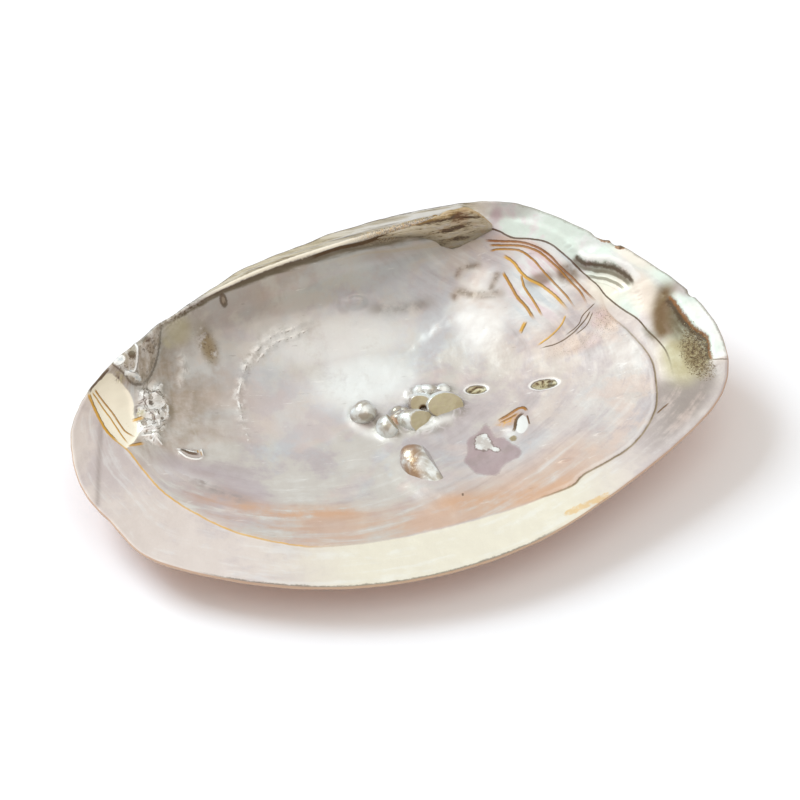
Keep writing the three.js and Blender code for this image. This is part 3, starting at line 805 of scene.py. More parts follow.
def mark_valve(mesh, valve, x, y, outer):
    """Stores on the valve's mesh where its zones, lines and patches lie."""
    spot = {}
    for name, forms in SPOTS.items():
        spot[name] = np.max([share * mound(x, y, *form) for share, *form in forms], axis=0)
    streak = {}
    for name, forms in STREAKS.items():
        streak[name] = np.max([band(x, y, *form) for form in forms], axis=0)
    patches = (TOOTH, MUSCLE_SCAR, LILAC_SCAR, WHITE_SCAR, BROKEN_BLISTER)
    tooth, muscle_scar, lilac_scar, white_scar, blister = (inside_of(x, y, patch)[0] for patch in patches)
    inner = 1 - smoothstep(0.2, 0.6, outer)
    keep = partial(add_numbers, mesh)
    # White lines along the ridges: painted highlights
    ridge_highlights = [(points, 0.5 * width, -1 if ragged else -0.7) for points, _, width, ragged in RIDGES]
    for number in range(LINE_SETS):
        chosen = (FAN_LINES + STAIN_LINES + ridge_highlights)[number::LINE_SETS]
        keep(f"lines_{number}", *line_numbers(x, y, chosen))
    margin, along = inside_of(x, y, MANTLE, 160, None)
    front_ink = between(along, (0, 0.01), (0.27, 0.36))
    hind_ink = between(along, (0.43, 0.47), (0.7, 0.78))
    keep("mantle", -margin, np.maximum(front_ink, hind_ink), between(x, (-50, -15), (36, 62)))

    crest = valve.crest_distance(x, y)
    reach = np.interp(x, [place for place, _ in CREST_SHADE_REACH], [drop for _, drop in CREST_SHADE_REACH])
    window = between(x, (-62, -50), (27, 35)) * inner
    keep("hinge", np.where(crest > 0, crest / reach, crest), window, smoothstep(-15, 5, x))
    keep("edges", streak["wrinkle"], streak["tan"], between(x, (-50, -38), (2, 16)) * inner)
    wing_rim = smoothstep(30, 46, x) * smoothstep(-4, 4, y)
    keep("rim", valve.rim_gap(x, y), streak["torn_rim"] * inner, wing_rim)

    first_line = distance_to(x, y, curve_through(FAN_LINES[0][0], 60))[0]
    wing = smoothstep(-0.5, 0.8, first_line) * smoothstep(28, 38, x) * smoothstep(-2, 5, y)
    hind = smoothstep(52, 74, x) * (1 - smoothstep(-5, 1, y)) * smoothstep(-1, 0.5, -margin)
    rear, rear_along = distance_to(x, y, curve_through(REAR_FOLD, 40))
    strip = smoothstep(-0.2, 1.2, rear) * between(y, (-1.6, -0.8), (16, 20)) * smoothstep(74, 78, x)
    keep("wing", wing, hind, strip)
    keep("wing_tints", spot["lilac_rim"], spot["purple"], spot["swell"])
    keep("fan", spot["fan"], 0.82 * x + 0.57 * y, 0.57 * x - 0.82 * y)
    keep("fan_tints", streak["salmon"], spot["smoke"], spot["grey_spot"])

    fold, fold_along = distance_to(x, y, curve_through(WING_FOLD, 40))
    pocket = spot["pocket"] * smoothstep(-0.5, 0.5, -fold)
    keep("wing_fold", fold, between(fold_along, (0, 0.05), (0.85, 1)) * inner, pocket)
    keep("rear_fold", rear, between(rear_along, (0, 0.05), (0.95, 1)) * inner, streak["shade"])
    inland = smoothstep(-0.4, 0.6, -rear)
    grit = spot["grit"] * inland
    keep("wing_stains", grit, spot["khaki"] * inland, spot["hollow"] * inland)
    keep("grains", grit * inner)

    keep("patches", lilac_scar, white_scar, muscle_scar)
    keep("blister", blister, spot["blister_peach"], spot["blister_blot"])
    pit = np.max([mound(x, y, centre, radii, turn) for centre, radii, turn in PITS], axis=0)
    keep("spots", tooth, pit, spot["stain"])
    keep("front_spots", np.hypot(x - RING_SPOT[0], y - RING_SPOT[1]), spot["yellow"], spot["mint_patch"])
    keep("front_marks", spot["crumbs"] * inner, spot["holes"] * inner, spot["drips"])

    peach = between(-margin, (-18, -4), (-0.6, 0.4)) * between(x, (-66, -50), (35, 62))
    keep("zones", peach * (1 - smoothstep(-18, 0, y)), spot["pale"], streak["smear"])
    keep("low_streaks", streak["slate"], streak["frost"], streak["tawny"])
    # Front wall: where its painted shade lies, with the mound along the upper wall
    front = (1 - smoothstep(-64, -30, x)) * smoothstep(-14, 10, y)
    blush = np.maximum(smoothstep(12, 55, x), spot["blush"])
    keep("tints", np.maximum(front, spot["front_wall_shade"]), blush, spot["pad"])
    keep("small_marks", streak["pad_marks"], streak["margin_fold"], streak["pearl_gap"])
    # Ground round the untapered pearls, where painted shade lies at their foot
    pearl_shade_zone = [mound(x, y, pearl["at"], np.array(pearl["size"][:2]) * 0.75, pearl["turn"])
            for pearl in PEARLS if not pearl["taper"]]
    keep("relief", spot["crumple"] * inner, np.max(pearl_shade_zone, axis=0), outer)
    keep("touches", spot["pink"], spot["flecks"], spot["cold"])
    growth, direction = valve.reach(x, y, valve.beak_reach)
    keep("growth", growth, direction, smoothstep(-5, 15, y))
    keep("lights", streak["gleam"], smoothstep(-20, 30, x), between(x, (-8, 6), (26, 30)) * inner)


class Wire:
    """One socket of a node tree that takes part in Python arithmetic."""

    def __init__(self, tree, socket=None):
        self.tree = tree
        self.socket = socket

    def make(self, kind, settings=None, sockets=None, output=0):
        """Adds a node: its type, its settings, then the values or links of its sockets."""
        node = self.tree.nodes.new(kind)
        for name, setting in (settings or {}).items():
            setattr(node, name, setting)
        for key, value in (sockets or {}).items():
            if isinstance(value, Wire):
                self.tree.links.new(value.socket, node.inputs[key])
            else:
                node.inputs[key].default_value = value
        return Wire(self.tree, node.outputs[output] if len(node.outputs) else None)

    def output(self, key):
        """Another output of the same node."""
        return Wire(self.tree, self.socket.node.outputs[key])

    def math(self, operation, *terms):
        return self.make("ShaderNodeMath", {"operation": operation}, dict(enumerate(terms)))

    def __add__(self, other):
        return self.math("ADD", self, other)

    def __sub__(self, other):
        return self.math("SUBTRACT", self, other)

    def __rsub__(self, other):
        return self.math("SUBTRACT", other, self)

    def __mul__(self, other):
        return self.math("MULTIPLY", self, other)

    def __truediv__(self, other):
        return self.math("DIVIDE", self, other)

    def __rtruediv__(self, other):
        return self.math("DIVIDE", other, self)

    def __abs__(self):
        return self.math("ABSOLUTE", self)

    __radd__ = __add__
    __rmul__ = __mul__

    def most(self, other):
        return self.math("MAXIMUM", self, other)

    def step(self, low, high):
        """Smooth rise from 0 to 1 between two values; a fall where the first is the higher."""
        sockets = {"Value": self, "From Min": min(low, high), "From Max": max(low, high)}
        rise = self.make("ShaderNodeMapRange", {"interpolation_type": "SMOOTHSTEP"}, sockets)
        return rise if low < high else 1 - rise

    def tinted(self, colour, share):
        """This colour mixed towards another by a share."""
        return self.blend(self, colour, share)

    def layered(self, *layers):
        """This colour under layers of others: a colour, and the share by which it covers."""
        paint = self
        for layer, share in layers:
            paint = paint.tinted(layer, share)
        return paint

    def blend(self, first, second, share):
        """One colour mixed towards another by a share."""
        return self.make("ShaderNodeMix", {"data_type": "RGBA"}, {0: share, 6: first, 7: second}, output=2)

    def numbers(self, name):
        """The three numbers stored at a mesh's corners under one name."""
        vector = self.make("ShaderNodeAttribute", {"attribute_name": name}, output="Vector")
        parts = self.make("ShaderNodeSeparateXYZ", sockets={0: vector})
        return parts, parts.output(1), parts.output(2)

    def noise(self, vector, scale, detail=3.0, roughness=0.55, distortion=0.0):
        sockets = {"Vector": vector, "Scale": scale, "Detail": detail, "Roughness": roughness}
        sockets["Distortion"] = distortion
        return self.make("ShaderNodeTexNoise", sockets=sockets)


def new_material(name):
    material = bpy.data.materials.new(name)
    material.use_nodes = True
    material.node_tree.nodes.clear()
    return material, Wire(material.node_tree)


def finish_material(sheet, sockets):
    shader = sheet.make("ShaderNodeBsdfPrincipled", sockets=sockets)
    sheet.make("ShaderNodeOutputMaterial", sockets={"Surface": shader})


def scaled_vector(sheet, vector, factors):
    return sheet.make("ShaderNodeVectorMath", {"operation": "MULTIPLY"}, {0: vector, 1: factors})


def nacre_material(colours):
    """Mother of pearl of the valve: zones of sheen, growth lines, stains and the hidden outer side."""
    material, sheet = new_material("nacre")
    place = sheet.make("ShaderNodeTexCoord", output="Object")
    growth = sheet.make("ShaderNodeAttribute", {"attribute_name": "growth"}, output="Vector")
    fan_place = sheet.make("ShaderNodeAttribute", {"attribute_name": "fan"}, output="Vector")
    broad = sheet.noise(place, 30, 3, 0.5, 0.6)
    other = sheet.noise(scaled_vector(sheet, place, (0.8, 1.2, 1)), 46, 3, 0.5, 0.8)
    cloud = sheet.noise(place, 95, 4, 0.6)
    fine = sheet.noise(place, 420, 4, 0.65)
    speck = sheet.noise(place, 1300, 3, 0.6)
    dust = sheet.noise(place, 3000, 2)
    crease = sheet.noise(place, 380, 3, 0.55, 1.5)
    blade = sheet.noise(scaled_vector(sheet, place, (400, 170, 300)), 1, 4, 0.6, 1.6)
    wall_streak = sheet.noise(scaled_vector(sheet, place, (170, 42, 60)), 1, 4, 0.6, 0.8)
    grain = sheet.noise(scaled_vector(sheet, place, (45, 700, 700)), 1, 4, 0.65)
    scuff = sheet.noise(scaled_vector(sheet, place, (90, 700, 700)), 1, 4, 0.65)
    stripe = sheet.noise(scaled_vector(sheet, fan_place, (0, 0.3, 0.05)), 1, 3, 0.55)
    rings = sheet.noise(scaled_vector(sheet, growth, (30, 3.4, 0)), 1, 5, 0.62, 0.3)
    grown, _, upper = sheet.numbers("growth")
    streak = cloud + (rings - cloud) * grown.step(0.3, 0.75)
    fan, _, _ = sheet.numbers("fan")
    salmon, smoke, grey_spot = sheet.numbers("fan_tints")
    wing, hind, strip = sheet.numbers("wing")
    lilac_rim, purple, swell = sheet.numbers("wing_tints")
    peach, pale, smear = sheet.numbers("zones")
    slate, frost, tawny = sheet.numbers("low_streaks")
    front, blush, pad = sheet.numbers("tints")
    pad_marks, margin_fold, pearl_gap = sheet.numbers("small_marks")
    crumple, pearl_shade_zone, outer = sheet.numbers("relief")
    margin, mantle_ink, cream = sheet.numbers("mantle")
    crest, hinge, hinge_rear = sheet.numbers("hinge")
    wrinkle, tan, crest_shown = sheet.numbers("edges")
    rim_gap, torn_rim, wing_rim = sheet.numbers("rim")
    lilac_scar, white_scar, muscle_scar = sheet.numbers("patches")
    blister, blister_peach, blister_blot = sheet.numbers("blister")
    tooth, pit, stain = sheet.numbers("spots")
    ring, yellow, mint_patch = sheet.numbers("front_spots")
    crumbs, holes, drips = sheet.numbers("front_marks")
    rear, rear_shown, shade = sheet.numbers("rear_fold")
    fold, fold_shown, pocket = sheet.numbers("wing_fold")
    grit, khaki, hollow = sheet.numbers("wing_stains")
    pink, flecks, cold = sheet.numbers("touches")
    gleam, hindward, gold = sheet.numbers("lights")
    wander = (fine - 0.5) * 1.4
    ragged = wander + (speck - 0.5) * 1.6
    mottle = (cloud - 0.5) * 0.5 + (fine - 0.5) * 0.35

    # Floor of the hollow
    paint = sheet.blend(colours.silver, colours.lilac, (cloud + (streak - 0.5) * 0.5).step(0.42, 0.62) * 0.7)
    paint = paint.layered(
        (colours.sky, (broad + mottle).step(0.46, 0.66) * 0.55),
        (colours.blush, (other + mottle * 0.6).step(0.5, 0.66) * 0.55),
        # Front wall: grey painted shade, broken by streaks
        (colours.grey, front * (streak + mottle).step(0.25, 0.7)),
        (colours.olive, front * (other + mottle).step(0.5, 0.72) * 0.25),
        (colours.silver, front * scuff.step(0.52, 0.64) * 0.3),
        (colours.lilac, cold * streak.step(0.3, 0.6)),
        (colours.blush, blush * (other + mottle).step(0.66, 0.4) * 0.8),
        (colours.lilac, blush * (streak + mottle).step(0.46, 0.62) * 0.45),
        # Painted highlight on the floor beside the pearls
        (colours.pale, pale * (broad + mottle).step(0.2, 0.5) * 0.95),
    )
    lined = grown.step(0.35, 0.6) * (1 - front)
    paint = paint.layered(
        (colours.hind_lilac, lined * (streak + mottle * 0.5).step(0.52, 0.74) * 0.4),
        (colours.pale, lined * (streak + mottle * 0.5).step(0.46, 0.3) * 0.22),
        (colours.silver, front * wall_streak.step(0.5, 0.66) * 0.6),
        (colours.moss, front * wall_streak.step(0.46, 0.32) * 0.18),
    )
    soft = broad * 0.5 + streak * 0.5 + mottle * 0.3
    paint = paint.layered(
        (colours.peach, peach * soft.step(0.38, 0.56) * 0.7),
        (colours.peach, tawny * (streak + mottle).step(0.25, 0.6) * 0.95),
        (colours.hind_lilac, slate * (streak + mottle).step(0.75, 0.4) * 0.9),
        (colours.pale, frost * (streak + mottle).step(0.35, 0.6) * 0.35),
        (colours.pale, fan * 0.85),
        (colours.wing_pink, fan * stripe.step(0.5, 0.62) * 0.8),
        (colours.sky, fan * stripe.step(0.47, 0.37) * 0.7),
        (colours.peach, (salmon + wander * 0.3).step(0.2, 0.8) * 0.35),
        (colours.chalk, pad * (0.85 + mottle)),
        (colours.peach, pad * other.step(0.48, 0.62) * 0.4),
        (colours.umber, pad_marks * (cloud + mottle).step(0.2, 0.55) * 0.5),
        (colours.bark, pad_marks * pad_marks * (fine + mottle).step(0.5, 0.64) * 0.4),
        (colours.peach, pink * 0.45),
        (colours.wing_pink, pink * cloud.step(0.45, 0.6) * 0.6),
        (colours.bark, pink * dust.step(0.58, 0.66) * 0.7),
        (colours.bark, scuff.step(0.66, 0.74) * 0.22),
        (colours.chalk, scuff.step(0.36, 0.28) * 0.3),
        # Painted shade round the foot of the pearls
        (colours.moss, pearl_shade_zone.step(0.1, 0.9) * crease.step(0.35, 0.55) * 0.5),
        (colours.rust, pearl_gap * 0.7),
        (colours.chalk, gleam * (0.6 + mottle)),
        (colours.moss, smear * (cloud + mottle).step(0.3, 0.6) * 0.5),
        (colours.umber, smoke * (cloud + mottle).step(0.2, 0.5) * 0.9),
        (colours.bark, smoke * smoke * 0.45),
        (colours.chalk, drips * blade.step(0.4, 0.62) * 0.5),
        # Painted highlights and flecks of shade along the wrinkle
        (colours.chalk, wrinkle * fine.step(0.48, 0.62) * 0.6),
        (colours.moss, wrinkle * fine.step(0.46, 0.34) * 0.4),
    )

    # Smooth margin, wing and hind end
    rim_paint = sheet.blend(colours.beige, colours.cream, cream)
    rim_paint = rim_paint.layered(
        (colours.lilac, (1 - cream) * (other + mottle).step(0.4, 0.65) * 0.5),
        (colours.pale, (streak + mottle).step(0.5, 0.7) * 0.3),
        (colours.hind_lilac, margin_fold * 0.6),
        (colours.amber, (tan * (1 + ragged)).step(0.3, 0.6) * fine.step(0.3, 0.55) * 0.55),
    )
    in_margin = (margin + wander * 0.3).step(-0.1, 0.5)
    paint = paint.tinted(rim_paint, in_margin)
    hind_paint = sheet.blend(colours.hind_lilac, colours.blush, (streak + mottle).step(0.5, 0.75) * 0.6)
    paint = paint.tinted(hind_paint, hind * (1 - rim_gap.step(5, 1) * 0.6))
    wing_paint = sheet.blend(colours.mint, colours.pale, (other + mottle).step(0.42, 0.6))
    wing_paint = wing_paint.layered(
        (colours.wing_pink, (cloud + mottle * 0.4).step(0.5, 0.62) * 0.5),
        (colours.sky, (stripe + mottle * 0.4).step(0.45, 0.35) * 0.5),
        (colours.hind_lilac, (lilac_rim + mottle).step(0.2, 0.9) * 0.5),
    )
    paint = paint.layered(
        (wing_paint, wing),
        (colours.wing_cream, wing * swell * 0.9),
        (colours.orchid, purple * (0.7 + mottle)),
        (colours.scar, pocket * (0.6 + mottle)),
        (colours.khaki, khaki * (0.95 + mottle)),
        (colours.olive, (khaki + mottle).step(0.6, 1.1) * 0.4),
        # Painted shade in the wing's hollow
        (colours.moss, hollow * (0.95 + mottle)),
        # Painted brown shade between the wing's folds, darkest in its middle
        (colours.umber, shade * (1 + mottle)),
        (colours.bark, shade * shade * (0.35 + mottle)),
        (colours.olive, grit * (0.85 + ragged * 0.2)),
        (colours.bark, grit * speck.step(0.46, 0.6) * 0.55),
        (sheet.blend(colours.mint, colours.chalk, cloud.step(0.4, 0.6)), strip * 0.9),
        (colours.rust, (flecks * (1 + ragged)).step(0.4, 0.6) * 0.8),
        (colours.bark, (flecks * (1 + ragged)).step(0.75, 1) * 0.8),
        (colours.moss, grey_spot * 0.6),
    )

    # Edges of the two folds
    paint = paint.layered(
        (colours.bark, abs(rear + 0.6 + ragged * 0.9).step(1.2, 0.3) * rear_shown * 0.85),
        (colours.rust, abs(rear + 0.1 + ragged * 0.5).step(0.5, 0.1) * rear_shown * 0.7),
    )
    pleats = sheet.math("SINE", fold * PLEAT_RATE + wander)
    under = abs(fold + 2.6).step(2.2, 1.2) * fold_shown * wing
    paint = paint.layered(
        (colours.moss, under * pleats.step(-0.3, 0.6) * 0.7),
        (colours.chalk, under * pleats.step(-0.5, -0.9) * 0.25),
        # Painted shadow and shade under the wing fold's ledge, and a painted highlight along its top
        (colours.moss, abs(fold + 0.8 + wander).step(1.2, 0.3) * fold_shown * 0.55),
        (colours.bark, abs(fold + 0.4 + wander * 0.7 + ragged * 0.2).step(0.7, 0.1) * fold_shown * 0.85),
        (colours.chalk, abs(fold - 1 + wander).step(1, 0.4) * fold_shown * 0.8),
    )

    # Patches on the floor
    paint = paint.layered(
        (colours.scar, (muscle_scar + wander * 0.3).step(-0.2, 0.3)),
        (colours.orchid, (lilac_scar + ragged * 0.6).step(-0.2, 0.5) * (0.85 + mottle)),
        (colours.hind_lilac, lilac_scar.step(0, 1.5) * cloud.step(0.5, 0.62) * 0.5),
        (colours.bark, abs(lilac_scar + ragged * 0.6).step(0.2, 0.05) * 0.12),
        (colours.bark, abs(white_scar + ragged * 0.8).step(0.35, 0.1) * 0.4),
    )
    in_white = (white_scar + ragged * 0.8).step(0, 0.3)
    paint = paint.layered(
        (colours.silver, in_white * 0.9),
        (colours.pale, in_white * fine.step(0.42, 0.6) * 0.7),
        (colours.peach, blister_peach * (0.8 + mottle)),
        (colours.amber, blister_peach * speck.step(0.48, 0.6) * 0.7),
        (colours.pale, (blister + wander * 0.4).step(-0.1, 0.4) * 0.9),
        (colours.olive, (blister_blot + wander * 0.3).step(0.2, 0.6) * 0.9),
    )
    in_tooth = (tooth + wander * 0.3).step(-0.2, 0.3)
    tooth_grain = sheet.noise(scaled_vector(sheet, place, (700, 240, 400)), 1, 4, 0.65)
    tooth_paint = sheet.blend(colours.silver, colours.grey, tooth_grain.step(0.36, 0.56) * 0.8)
    tooth_paint = tooth_paint.layered(
        (colours.moss, tooth_grain.step(0.54, 0.68) * 0.4),
        (colours.bark, (speck + (cloud - 0.5) * 0.6).step(0.54, 0.64) * 0.6),
    )
    paint = paint.layered(
        (tooth_paint, in_tooth * 0.95),
        (colours.bark, abs(tooth + 0.1 + ragged * 0.25).step(0.3, 0.05) * 0.6),
    )
    patch_paint = sheet.blend(colours.sky, colours.chalk, fine.step(0.4, 0.6))
    paint = paint.tinted(patch_paint, (mint_patch * (1 + ragged * 0.4)).step(0.2, 0.5) * 0.95)
    torn = pit * (1 + ragged * 0.5)
    paint = paint.layered(
        (colours.chalk, torn.step(0.02, 0.2) * 0.8),
        (colours.khaki, torn.step(0.35, 0.55) * 0.9),
        (colours.olive, torn.step(0.5, 0.7) * crease.step(0.4, 0.55) * 0.9),
        (colours.bark, torn.step(0.5, 0.7) * crease.step(0.52, 0.6) * 0.85),
        (colours.bark, abs(torn - 0.45).step(0.16, 0.04) * 0.75),
        (colours.olive, stain * fine.step(0.35, 0.5) * 0.9),
        (colours.bark, stain * speck.step(0.54, 0.64) * 0.5),
        (colours.khaki, yellow * (0.6 + mottle)),
    )

    # Crumples beside the scar, with painted highlights and shade, their crumbs and holes
    lump = sheet.noise(place, 330, 2, 0.5, 1.2)
    crumple_paint = sheet.blend(colours.silver, colours.chalk, lump.step(0.4, 0.55))
    crumple_paint = crumple_paint.layered(
        (colours.grey, blade.step(0.45, 0.35) * 0.8),
        (colours.bark, abs(lump - 0.45).step(0.035, 0.01) * 0.8),
    )
    paint = paint.layered(
        (crumple_paint, (crumple + wander * 0.3).step(0.15, 0.65) * 0.85),
        (colours.khaki, crumbs * crease.step(0.5, 0.42) * 0.8),
        (colours.bark, crumbs * crease.step(0.5, 0.58) * 0.8),
        (colours.bark, (holes * (1 + ragged * 0.6)).step(0.4, 0.8) * 0.85),
    )

    # Hinge: worn strip behind the crest, its cream edge, and painted shade in the band below
    behind = sheet.blend(colours.sand, colours.silver, hinge_rear)
    behind = behind.layered(
        (colours.olive, grain.step(0.42, 0.56) * 0.7),
        (colours.bark, grain.step(0.56, 0.66) * 0.7),
    )
    paint = paint.tinted(behind, (crest + wander * 0.4).step(-0.3, -0.9) * hinge * 0.9)
    # Painted shade under the crest; groove holds the band that it covers
    below = crest + (grain - 0.5) * 0.5
    groove = below.step(0.05, 0.3) * below.step(1.1, 0.7) * hinge
    crest_shade_paint = sheet.blend(colours.moss, colours.grey, grain.step(0.4, 0.66) * 0.3)
    crest_shade_paint = crest_shade_paint.tinted(colours.bark, below.step(1, 0.1) * 0.8)
    paint = paint.layered(
        (crest_shade_paint, groove * 0.92),
        (colours.sand, abs(below - 1.15).step(0.14, 0.03) * hinge * hinge_rear * 0.5),
        (colours.grey, below.step(0.9, 1.1) * below.step(2.0, 1.3) * hinge * hinge_rear * 0.4),
        (colours.scar, abs(crest + 0.2 + ragged * 0.2).step(0.5, 0.2) * crest_shown * 0.9),
    )
    torn_crest = abs(crest + 0.3 + ragged * 0.4).step(1.1, 0.5) * gold
    crest_paint = sheet.blend(colours.bark, colours.sand, dust.step(0.42, 0.58))
    crest_paint = crest_paint.tinted(colours.amber, speck.step(0.5, 0.6) * 0.5)
    paint = paint.layered(
        (crest_paint, torn_crest * 0.7),
        (colours.umber, ring.step(1.1, 0.5) * 0.6),
        (colours.bark, abs(ring - 0.8 + ragged * 0.3).step(0.45, 0.1) * 0.7),
        (sheet.blend(colours.bark, colours.silver, speck.step(0.4, 0.6)), torn_rim * 0.8),
    )
    rim_ink = (rim_gap + ragged * 0.6).step(1.1, 0.4)
    paint = paint.layered(
        (colours.bark, rim_ink * hinge * 0.7),
        (colours.moss, rim_ink * wing_rim * 0.5),
    )

    # Thin lines: stains, growth lines and painted ridge highlights, whose dark edge is painted shade
    ink = abs(margin + wander * 0.35).step(0.36, 0.1) * mantle_ink
    mantle_paint = sheet.blend(colours.amber, colours.olive, hindward)
    paint = paint.tinted(mantle_paint, ink * (0.75 + mottle * 1.5))
    brown_ink = abs(margin + 0.15 + ragged * 0.3).step(0.25, 0.08) * mantle_ink * hindward
    paint = paint.layered(
        (colours.bark, brown_ink * cloud.step(0.4, 0.55) * 0.45),
        # Painted highlight along the raised side of the mantle step
        (colours.chalk, abs(margin + 1 + wander).step(0.8, 0.1) * mantle_ink * hindward * 0.2),
    )
    for number in range(LINE_SETS):
        away, shown, tone = sheet.numbers(f"lines_{number}")
        broken = 1 - tone.step(-0.75, -0.95) * crease.step(0.62, 0.5)
        mark = abs(away + ragged * 0.5).step(1.4, 0.6) * shown * broken
        core = abs(away - 0.8 + ragged * 0.5).step(0.55, 0.2) * shown * broken
        line_paint = sheet.blend(colours.chalk, colours.amber, tone.step(-0.6, -0.1))
        line_paint = line_paint.tinted(colours.rust, tone.step(0.1, 0.6))
        line_paint = line_paint.tinted(colours.bark, tone.step(0.5, 1))
        paint = paint.tinted(line_paint, mark * (0.9 + mottle))
        paint = paint.tinted(colours.bark, core * 0.6)

    # Outer side and the cut edge of the rim
    layers = rings.step(0.35, 0.7)
    outer_paint = sheet.blend(colours.silver, colours.blush, layers * 0.7)
    outer_paint = outer_paint.layered(
        (colours.peach, (rings + mottle).step(0.42, 0.6) * 0.7),
        (colours.olive, other.step(0.55, 0.75) * layers * 0.35),
        (colours.coral, grown.step(0.35, 0.9) * (0.8 + mottle)),
        (colours.umber, abs(rings - 0.5).step(0.04, 0.005) * 0.2),
        (colours.cream, (rings + mottle * 0.5).step(0.4, 0.28) * 0.6),
    )
    paint = paint.tinted(outer_paint, outer.step(0.6, 0.95))
    rim_edge = sheet.blend(colours.peach, colours.olive, upper * 0.9)
    rim_edge = rim_edge.layered(
        (colours.bark, upper * grain.step(0.5, 0.6) * 0.75),
        (colours.sand, upper * grain.step(0.47, 0.37) * 0.7),
    )
    paint = paint.tinted(rim_edge, abs(outer - 0.5).step(0.45, 0.2) * 0.75)

    coarse = in_tooth.most(grit).most(in_margin * 0.4).most(blush * 0.35)
    dull = coarse.most(groove)
    roughness = 0.3 + fine * 0.14 + dull * 0.3 - crumple * 0.14
    height = fine * 0.5 + speck * (0.15 + coarse) + crease * pearl_shade_zone + blade * crumple * 5
    bump = sheet.make("ShaderNodeBump", sockets={"Strength": 0.2, "Distance": 0.0006, "Height": height})
    finish_material(sheet, {
        "Base Color": paint, "Roughness": roughness, "Normal": bump, "Metallic": (1 - dull) * 0.15,
        "Coat Weight": (1 - dull) * 0.35, "Coat Roughness": 0.2, "IOR": 1.55,
        "Thin Film Thickness": 420.0, "Thin Film IOR": 1.45,
    })
    return material


def pearl_material(colours):
    """Round lustre of the blister pearls, dull olive on their cut faces, with painted shade in their hole."""
    material, sheet = new_material("pearl")
    place = sheet.make("ShaderNodeTexCoord", output="Object")
    cut, copper, dark = sheet.numbers("pearl")
    cloud = sheet.noise(place, 210, 3, 0.55, 0.6)
    fine = sheet.noise(place, 900, 3)
    paint = sheet.blend(colours.pale, colours.grey, cloud.step(0.4, 0.62) * 0.85)
    paint = paint.layered(
        (colours.mint, cloud.step(0.36, 0.28) * 0.5),
        (colours.rust, copper * cloud.step(0.25, 0.55) * 0.6),
        (colours.grey, cut.step(0.02, 0.2) * 0.6),
    )
    dull = cut.step(0.3, 0.7)
    face = sheet.blend(colours.sand, colours.khaki, fine.step(0.3, 0.7) * 0.5)
    face = face.tinted(colours.olive, cloud.step(0.4, 0.65) * 0.35)
    paint = paint.layered(
        (face, dull),
        # Painted shade in the hole between the pearls
        (colours.rust, dark.step(0.05, 0.4) * 0.7),
        (colours.bark, dark.step(0.4, 0.8)),
    )
    height = cloud + fine * 0.4 + sheet.noise(place, 420, 3, 0.55, 1.5) * 0.8
    bump = sheet.make("ShaderNodeBump", sockets={"Strength": 0.35, "Distance": 0.0004, "Height": height})
    finish_material(sheet, {
        "Base Color": paint, "Roughness": 0.28 + dull * 0.15 + dark * 0.4, "Normal": bump,
        "Metallic": (1 - dull) * 0.3, "Coat Weight": 0.5 - dull * 0.4, "Coat Roughness": 0.12, "IOR": 1.6,
        "Thin Film Thickness": 400.0, "Thin Film IOR": 1.45,
    })
    return material


def ligament_material(colours):
    """Dried, fibrous ligament: olive grey with a golden upper edge, and painted shade on its lower side."""
    material, sheet = new_material("ligament")
    place = sheet.make("ShaderNodeTexCoord", output="Object")
    lane = sheet.make("ShaderNodeAttribute", {"attribute_name": "lane"}, output="Fac")
    fibre = sheet.noise(scaled_vector(sheet, place, (110, 620, 620)), 1, 4, 0.65)
    cloud = sheet.noise(place, 190, 3)
    fine = sheet.noise(place, 900, 3)
    paint = sheet.blend(colours.olive, colours.sand, fibre.step(0.36, 0.56))
    paint = paint.layered(
        (colours.silver, (fibre + (fine - 0.5) * 0.4).step(0.54, 0.7) * 0.6),
        (colours.bark, (fibre + (fine - 0.5) * 0.3).step(0.48, 0.36) * 0.85),
        (colours.amber, (lane + (cloud - 0.5) * 0.5).step(-0.7, -0.95) * 0.25),
        # Painted shade on the ligament's lower side
        (colours.moss, (lane + (fibre - 0.5)).step(0.1, 0.7) * 0.5),
        (colours.rust, cloud.step(0.58, 0.68) * 0.2),
    )
    height = fibre + fine * 0.3
    bump = sheet.make("ShaderNodeBump", sockets={"Strength": 0.7, "Distance": 0.0006, "Height": height})
    finish_material(sheet, {"Base Color": paint, "Roughness": 0.42 + fibre * 0.2, "Normal": bump})
    return material


def grain_material(colours):
    """Sandy grains stuck in the hollows."""
    material, sheet = new_material("grains")
    place = sheet.make("ShaderNodeTexCoord", output="Object")
    cloud = sheet.noise(place, 1100, 2)
    paint = sheet.blend(colours.khaki, colours.olive, cloud.step(0.35, 0.5))
    paint = paint.tinted(colours.bark, cloud.step(0.52, 0.62) * 0.7)
    finish_material(sheet, {"Base Color": paint, "Roughness": 0.4 + cloud * 0.2})
    return material


def new_tree(name, inputs):
    """An empty geometry tree with named inputs; also the inputs' identifiers by name."""
    tree = bpy.data.node_groups.new(name, "GeometryNodeTree")
    tree.interface.new_socket("Geometry", in_out="INPUT", socket_type="NodeSocketGeometry")
    identifiers = {}
    for label, kind, default in inputs:
        socket = tree.interface.new_socket(label, in_out="INPUT", socket_type=kind)
        socket.default_value = default
        identifiers[label] = socket.identifier
    tree.interface.new_socket("Geometry", in_out="OUTPUT", socket_type="NodeSocketGeometry")
    group = Wire(tree).make("NodeGroupInput")
    return tree, identifiers, group


def finish_tree(group, geometry, material):
    """Ends a tree with one plain, painted mesh."""
    whole = group.make("GeometryNodeRealizeInstances", sockets={0: geometry})
    painted = group.make("GeometryNodeSetMaterial", sockets={"Geometry": whole, "Material": material})
    group.make("NodeGroupOutput", sockets={"Geometry": painted})


